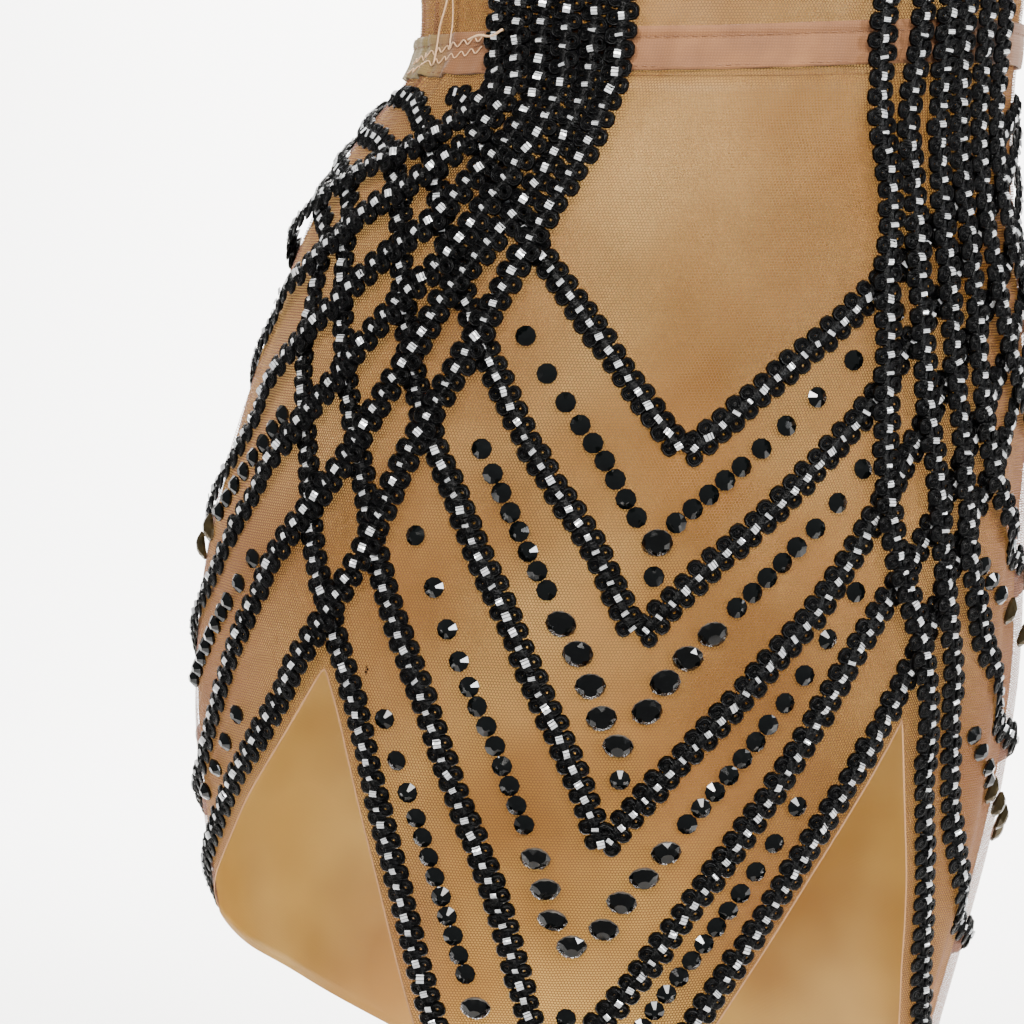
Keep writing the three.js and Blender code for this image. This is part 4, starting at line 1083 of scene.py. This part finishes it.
def cutStone(name, rings, squash=1.0):
    points, starts, faces = [], [], []
    for radius, height, sides, turn in rings:
        starts.append(len(points))
        points += [(500 * radius * math.cos(2 * math.pi * (k + turn) / sides),
                    500 * radius * squash * math.sin(2 * math.pi * (k + turn) / sides), 500 * height)
                   for k in range(sides)]
    for (first, second), low, high in zip(zip(starts, starts[1:]), rings, rings[1:]):
        sides = low[2]
        for k in range(sides):
            n = (k + 1) % sides
            if high[2] == 1:
                faces.append((first + k, first + n, second))
            elif high[2] == sides and high[3] == low[3]:
                faces.append((first + k, first + n, second + n, second + k))
            else:
                faces += [(first + k, first + n, second + k), (first + n, second + n, second + k)]
    faces.append(tuple(range(rings[0][2] - 1, -1, -1)))
    if rings[-1][2] > 1:
        faces.append(tuple(starts[-1] + k for k in range(rings[-1][2])))
    return meshFlat(name, points, faces)


cuts = dict(  # radius, height, sides, turn of each ring, in radii
    pointed=[(0.86, 0.0, 10, 0), (1.0, 0.26, 10, 0), (1.0, 0.34, 10, 0), (0.34, 0.84, 10, 0)],
    domed=[(0.8, 0.28, 10, 0), (1.0, 0.4, 10, 0), (0.78, 0.7, 10, 0.5), (0.42, 0.9, 10, 0.5)],
    longCut=[(0.9, 0.1, 8, 0), (1.0, 0.3, 8, 0), (0.62, 0.62, 8, 0.5), (0.3, 0.74, 8, 0.5)],
    setting=[(0.7, 0.0, 12, 0), (1.0, 0.3, 12, 0), (1.0, 0.42, 12, 0), (0.86, 0.44, 12, 0)])


def setStones(name, places, cut, finish, seed, squash=1.0):
    shape = cutStone(name + "_form", cuts[cut], squash)
    points, normal = pointOn(places[:, 0], places[:, 1], stone["clothGap"])
    around, rise, _ = clothFrame(places[:, 0], places[:, 1])
    lean = np.radians(places[:, 3])[:, None]
    face = normal * np.cos(lean) - rise * np.sin(lean)
    guide = guideMesh(name, points, face, dict(
        clothAlong=("FLOAT_VECTOR", "vector", around if squash == 1 else rise),
        width=("FLOAT", "value", places[:, 2] / 1000)), edges=False)
    modifier = guide.modifiers.new("stones", "NODES")
    modifier.node_group = pointTree
    treeInputs(modifier, dict(Stone=shape, Finish=finish, Tilt=stone["tilt"], Seed=seed))
    made = place(hardened(guide), None)
    removed(shape)
    return made


armStones, fanStones, backStones = armPlaces(), fanPlaces(), backPlaces()
isLargeArm, isLargeFan, isLargeBack = (p[:, 2] > 10 for p in (armStones, fanStones, backStones))
pointedPlaces = np.vstack([armStones[~isLargeArm], fanStones[~isLargeFan], backStones[~isLargeBack]])
setStones("pointed_stones", pointedPlaces * (1, 1, stone["pointedSize"], 1), "pointed", jetFinish, 5)
domedPlaces = np.vstack([armStones[isLargeArm], backStones[isLargeBack]])
setStones("domed_stones", domedPlaces, "domed", domeFinish, 8)
setStones("stone_settings", domedPlaces * (1, 1, stone["settingSize"], 1), "setting", settingFinish, 8)
setStones("long_stones", fanStones[isLargeFan], "longCut", smokeFinish, 9, squash=0.55)
print("stones made")


# Stitches on the elastic, and loose sewing thread.

def stitchForm(length, thick):
    points, faces = [], []
    for x, r in ((-length / 2, 0.3), (-length / 4, 0.9), (0, 1.0), (length / 4, 0.9), (length / 2, 0.3)):
        points += [(x, r * thick * math.cos(a), r * thick * 0.8 * math.sin(a)) for a in
                   (0, math.pi / 3, 2 * math.pi / 3, math.pi, 4 * math.pi / 3, 5 * math.pi / 3)]
    for k in range(4):
        for j in range(6):
            a, b = 6 * k + j, 6 * k + (j + 1) % 6
            faces.append((a, b, b + 6, a + 6))
    faces += [tuple(range(5, -1, -1)), tuple(24 + j for j in range(6))]
    return outwards(meshObject("stitch_form", points, faces))


stitch = stitchForm(band["stitch"], 0.22)
stitchTurns = np.arange(-180, 180.5, 1.0)
for name, up in (("upper_stitches", band["groove"] + 0.5), ("lower_stitches", -5.6)):
    line, normal = pointOn(stitchTurns, up + bandRise(stitchTurns), band["clear"] + band["thick"] + 0.12)
    row = alongRow(name, guideMesh(name, line, normal), stitch, elasticFinish,
                   Pitch=(band["stitch"] + band["gap"]) / 1000, Tilt=0.03, Turn=0.08, Seed=3)
    place(row, "elastic")
removed(stitch)


def threadLine(name, places, out, radius):
    route = centripetal(places, 6)
    centre, normal = pointOn(route[:, 0], route[:, 1], out)
    tangent = np.gradient(centre, axis=0)
    tangent /= np.linalg.norm(tangent, axis=1, keepdims=True)
    cross = np.cross(tangent, normal)
    sides = 5
    rings = [centre + radius * (cross * math.cos(a) + normal * math.sin(a))
             for a in np.arange(sides) * 2 * math.pi / sides]
    points = np.stack(rings, axis=1).reshape(-1, 3)
    faces = []
    for k in range(len(route) - 1):
        for j in range(sides):
            a, b = k * sides + j, k * sides + (j + 1) % sides
            faces.append((a, b, b + sides, a + sides))
    last = (len(route) - 1) * sides
    faces += [tuple(range(sides - 1, -1, -1)), tuple(last + j for j in range(sides))]
    return outwards(meshObject(name, points, faces, threadFinish))


gatherThreads = dict(  # turn and up of each hand-sewn thread over the gathers, left of the braid
    long=[(-63, 27), (-64, 18), (-65.5, 8), (-65, -3)], second=[(-60.5, 24), (-61, 12), (-60, 3)],
    loose=[(-52, 5), (-49, 6.5), (-46, 6), (-43.5, 8.5)])


def zigzag(low, high, startTurn, endTurn, count):
    turns = np.linspace(startTurn, endTurn, count)
    share = np.linspace(0, 1, count)
    return [(t, low + (high - low) * f + (1.1 if k % 2 else -1.1))
            for k, (t, f) in enumerate(zip(turns, share))]


sewn = [threadLine("thread_long", gatherThreads["long"], 2.6, 0.42),
        threadLine("thread_second", gatherThreads["second"], 2.4, 0.3),
        threadLine("thread_loose", gatherThreads["loose"], 6.6, 0.5)]
for k, (low, high) in enumerate(((-5, 2), (-1, 6.5))):
    sewn.append(threadLine(f"thread_zigzag_{k}", zigzag(low, high, -78, -50, 20), 2.3, 0.28))
place(joined("gather_threads", sewn), "elastic")
print("stitches made")

# Studio.

studio = dict(floor=-0.93, wall=1.9, half=3.0, corner=0.7)


def sweep():
    profile = [(-0.2, studio["floor"]), (studio["wall"] - studio["corner"], studio["floor"])]
    for k in range(1, 13):
        a = math.radians(90 * k / 12)
        profile.append((studio["wall"] - studio["corner"] + studio["corner"] * math.sin(a),
                        studio["floor"] + studio["corner"] * (1 - math.cos(a))))
    profile.append((studio["wall"], 3.0))
    points = [(x * 1000, y * 1000, z * 1000) for y, z in profile
              for x in (-studio["half"], studio["half"])]
    faces = [(2 * k, 2 * k + 1, 2 * k + 3, 2 * k + 2) for k in range(len(profile) - 1)]
    material, tree, shader = newMaterial("pale paper")
    spot = addNode(tree, "ShaderNodeTexCoord").outputs["Object"]
    cloud = addNode(tree, "ShaderNodeTexNoise", None, {"Vector": spot, "Scale": 1.5})
    tone = addNode(tree, "ShaderNodeMix", dict(data_type="RGBA"), {
        0: cloud.outputs["Fac"], 6: linear("#f3f1ee"), 7: linear("#fbfaf8")})
    tree.links.new(tone.outputs[2], shader.inputs["Base Color"])
    shader.inputs["Roughness"].default_value = 0.9
    return meshObject("paper_sweep", points, faces, material)


sweep()


def softLight(name, spot, target, size, power, colour):
    data = bpy.data.lights.new(name, "AREA")
    data.shape, data.size, data.energy, data.color = "DISK", size, power, colour
    lamp = bpy.data.objects.new(name, data)
    lamp.location = spot
    direction = np.array(target) - np.array(spot)
    lamp.rotation_euler = aimedAlong(direction)
    bpy.context.scene.collection.objects.link(lamp)


def aimedAlong(direction):
    flat = math.hypot(direction[0], direction[1])
    return (math.atan2(flat, -direction[2]), 0, math.atan2(direction[1], direction[0]) - math.pi / 2)


lamps = dict(  # place, target, size, power, colour
    key=((-1.1, -2.2, 0.9), (-0.02, 0, -0.55), 0.45, 66, (1, 0.98, 0.95)),
    waist=((0.05, -0.66, -0.12), (0.03, 0, -0.36), 0.25, 5.5, (1, 0.98, 0.93)),
    fill=((1.7, -1.7, 0.1), (0, 0, -0.55), 0.5, 48, (0.96, 0.98, 1)),
    top=((0.1, 0.35, 1.6), (0, 0, -0.6), 0.6, 28, (1, 1, 1)),
    wall=((0, 0.75, 0.6), (0, 1.9, -0.6), 0.9, 190, (1, 1, 1)))
for name, look in lamps.items():
    softLight(name, *look)
world = bpy.data.worlds.new("studio") if not bpy.context.scene.world else bpy.context.scene.world
bpy.context.scene.world = world
world.use_nodes = True
world.node_tree.nodes["Background"].inputs["Color"].default_value = (0.96, 0.97, 1, 1)
world.node_tree.nodes["Background"].inputs["Strength"].default_value = 0.3

camera = bpy.data.objects.new("camera", bpy.data.cameras.new("camera"))
camera.location = (-0.085, -1.0, -0.455)
camera.rotation_euler = (math.radians(83), 0, 0)
camera.data.sensor_width = 36
camera.data.lens = 2500 / 1024 * 36
camera.data.clip_start = 0.02
bpy.context.scene.collection.objects.link(camera)
bpy.context.scene.camera = camera
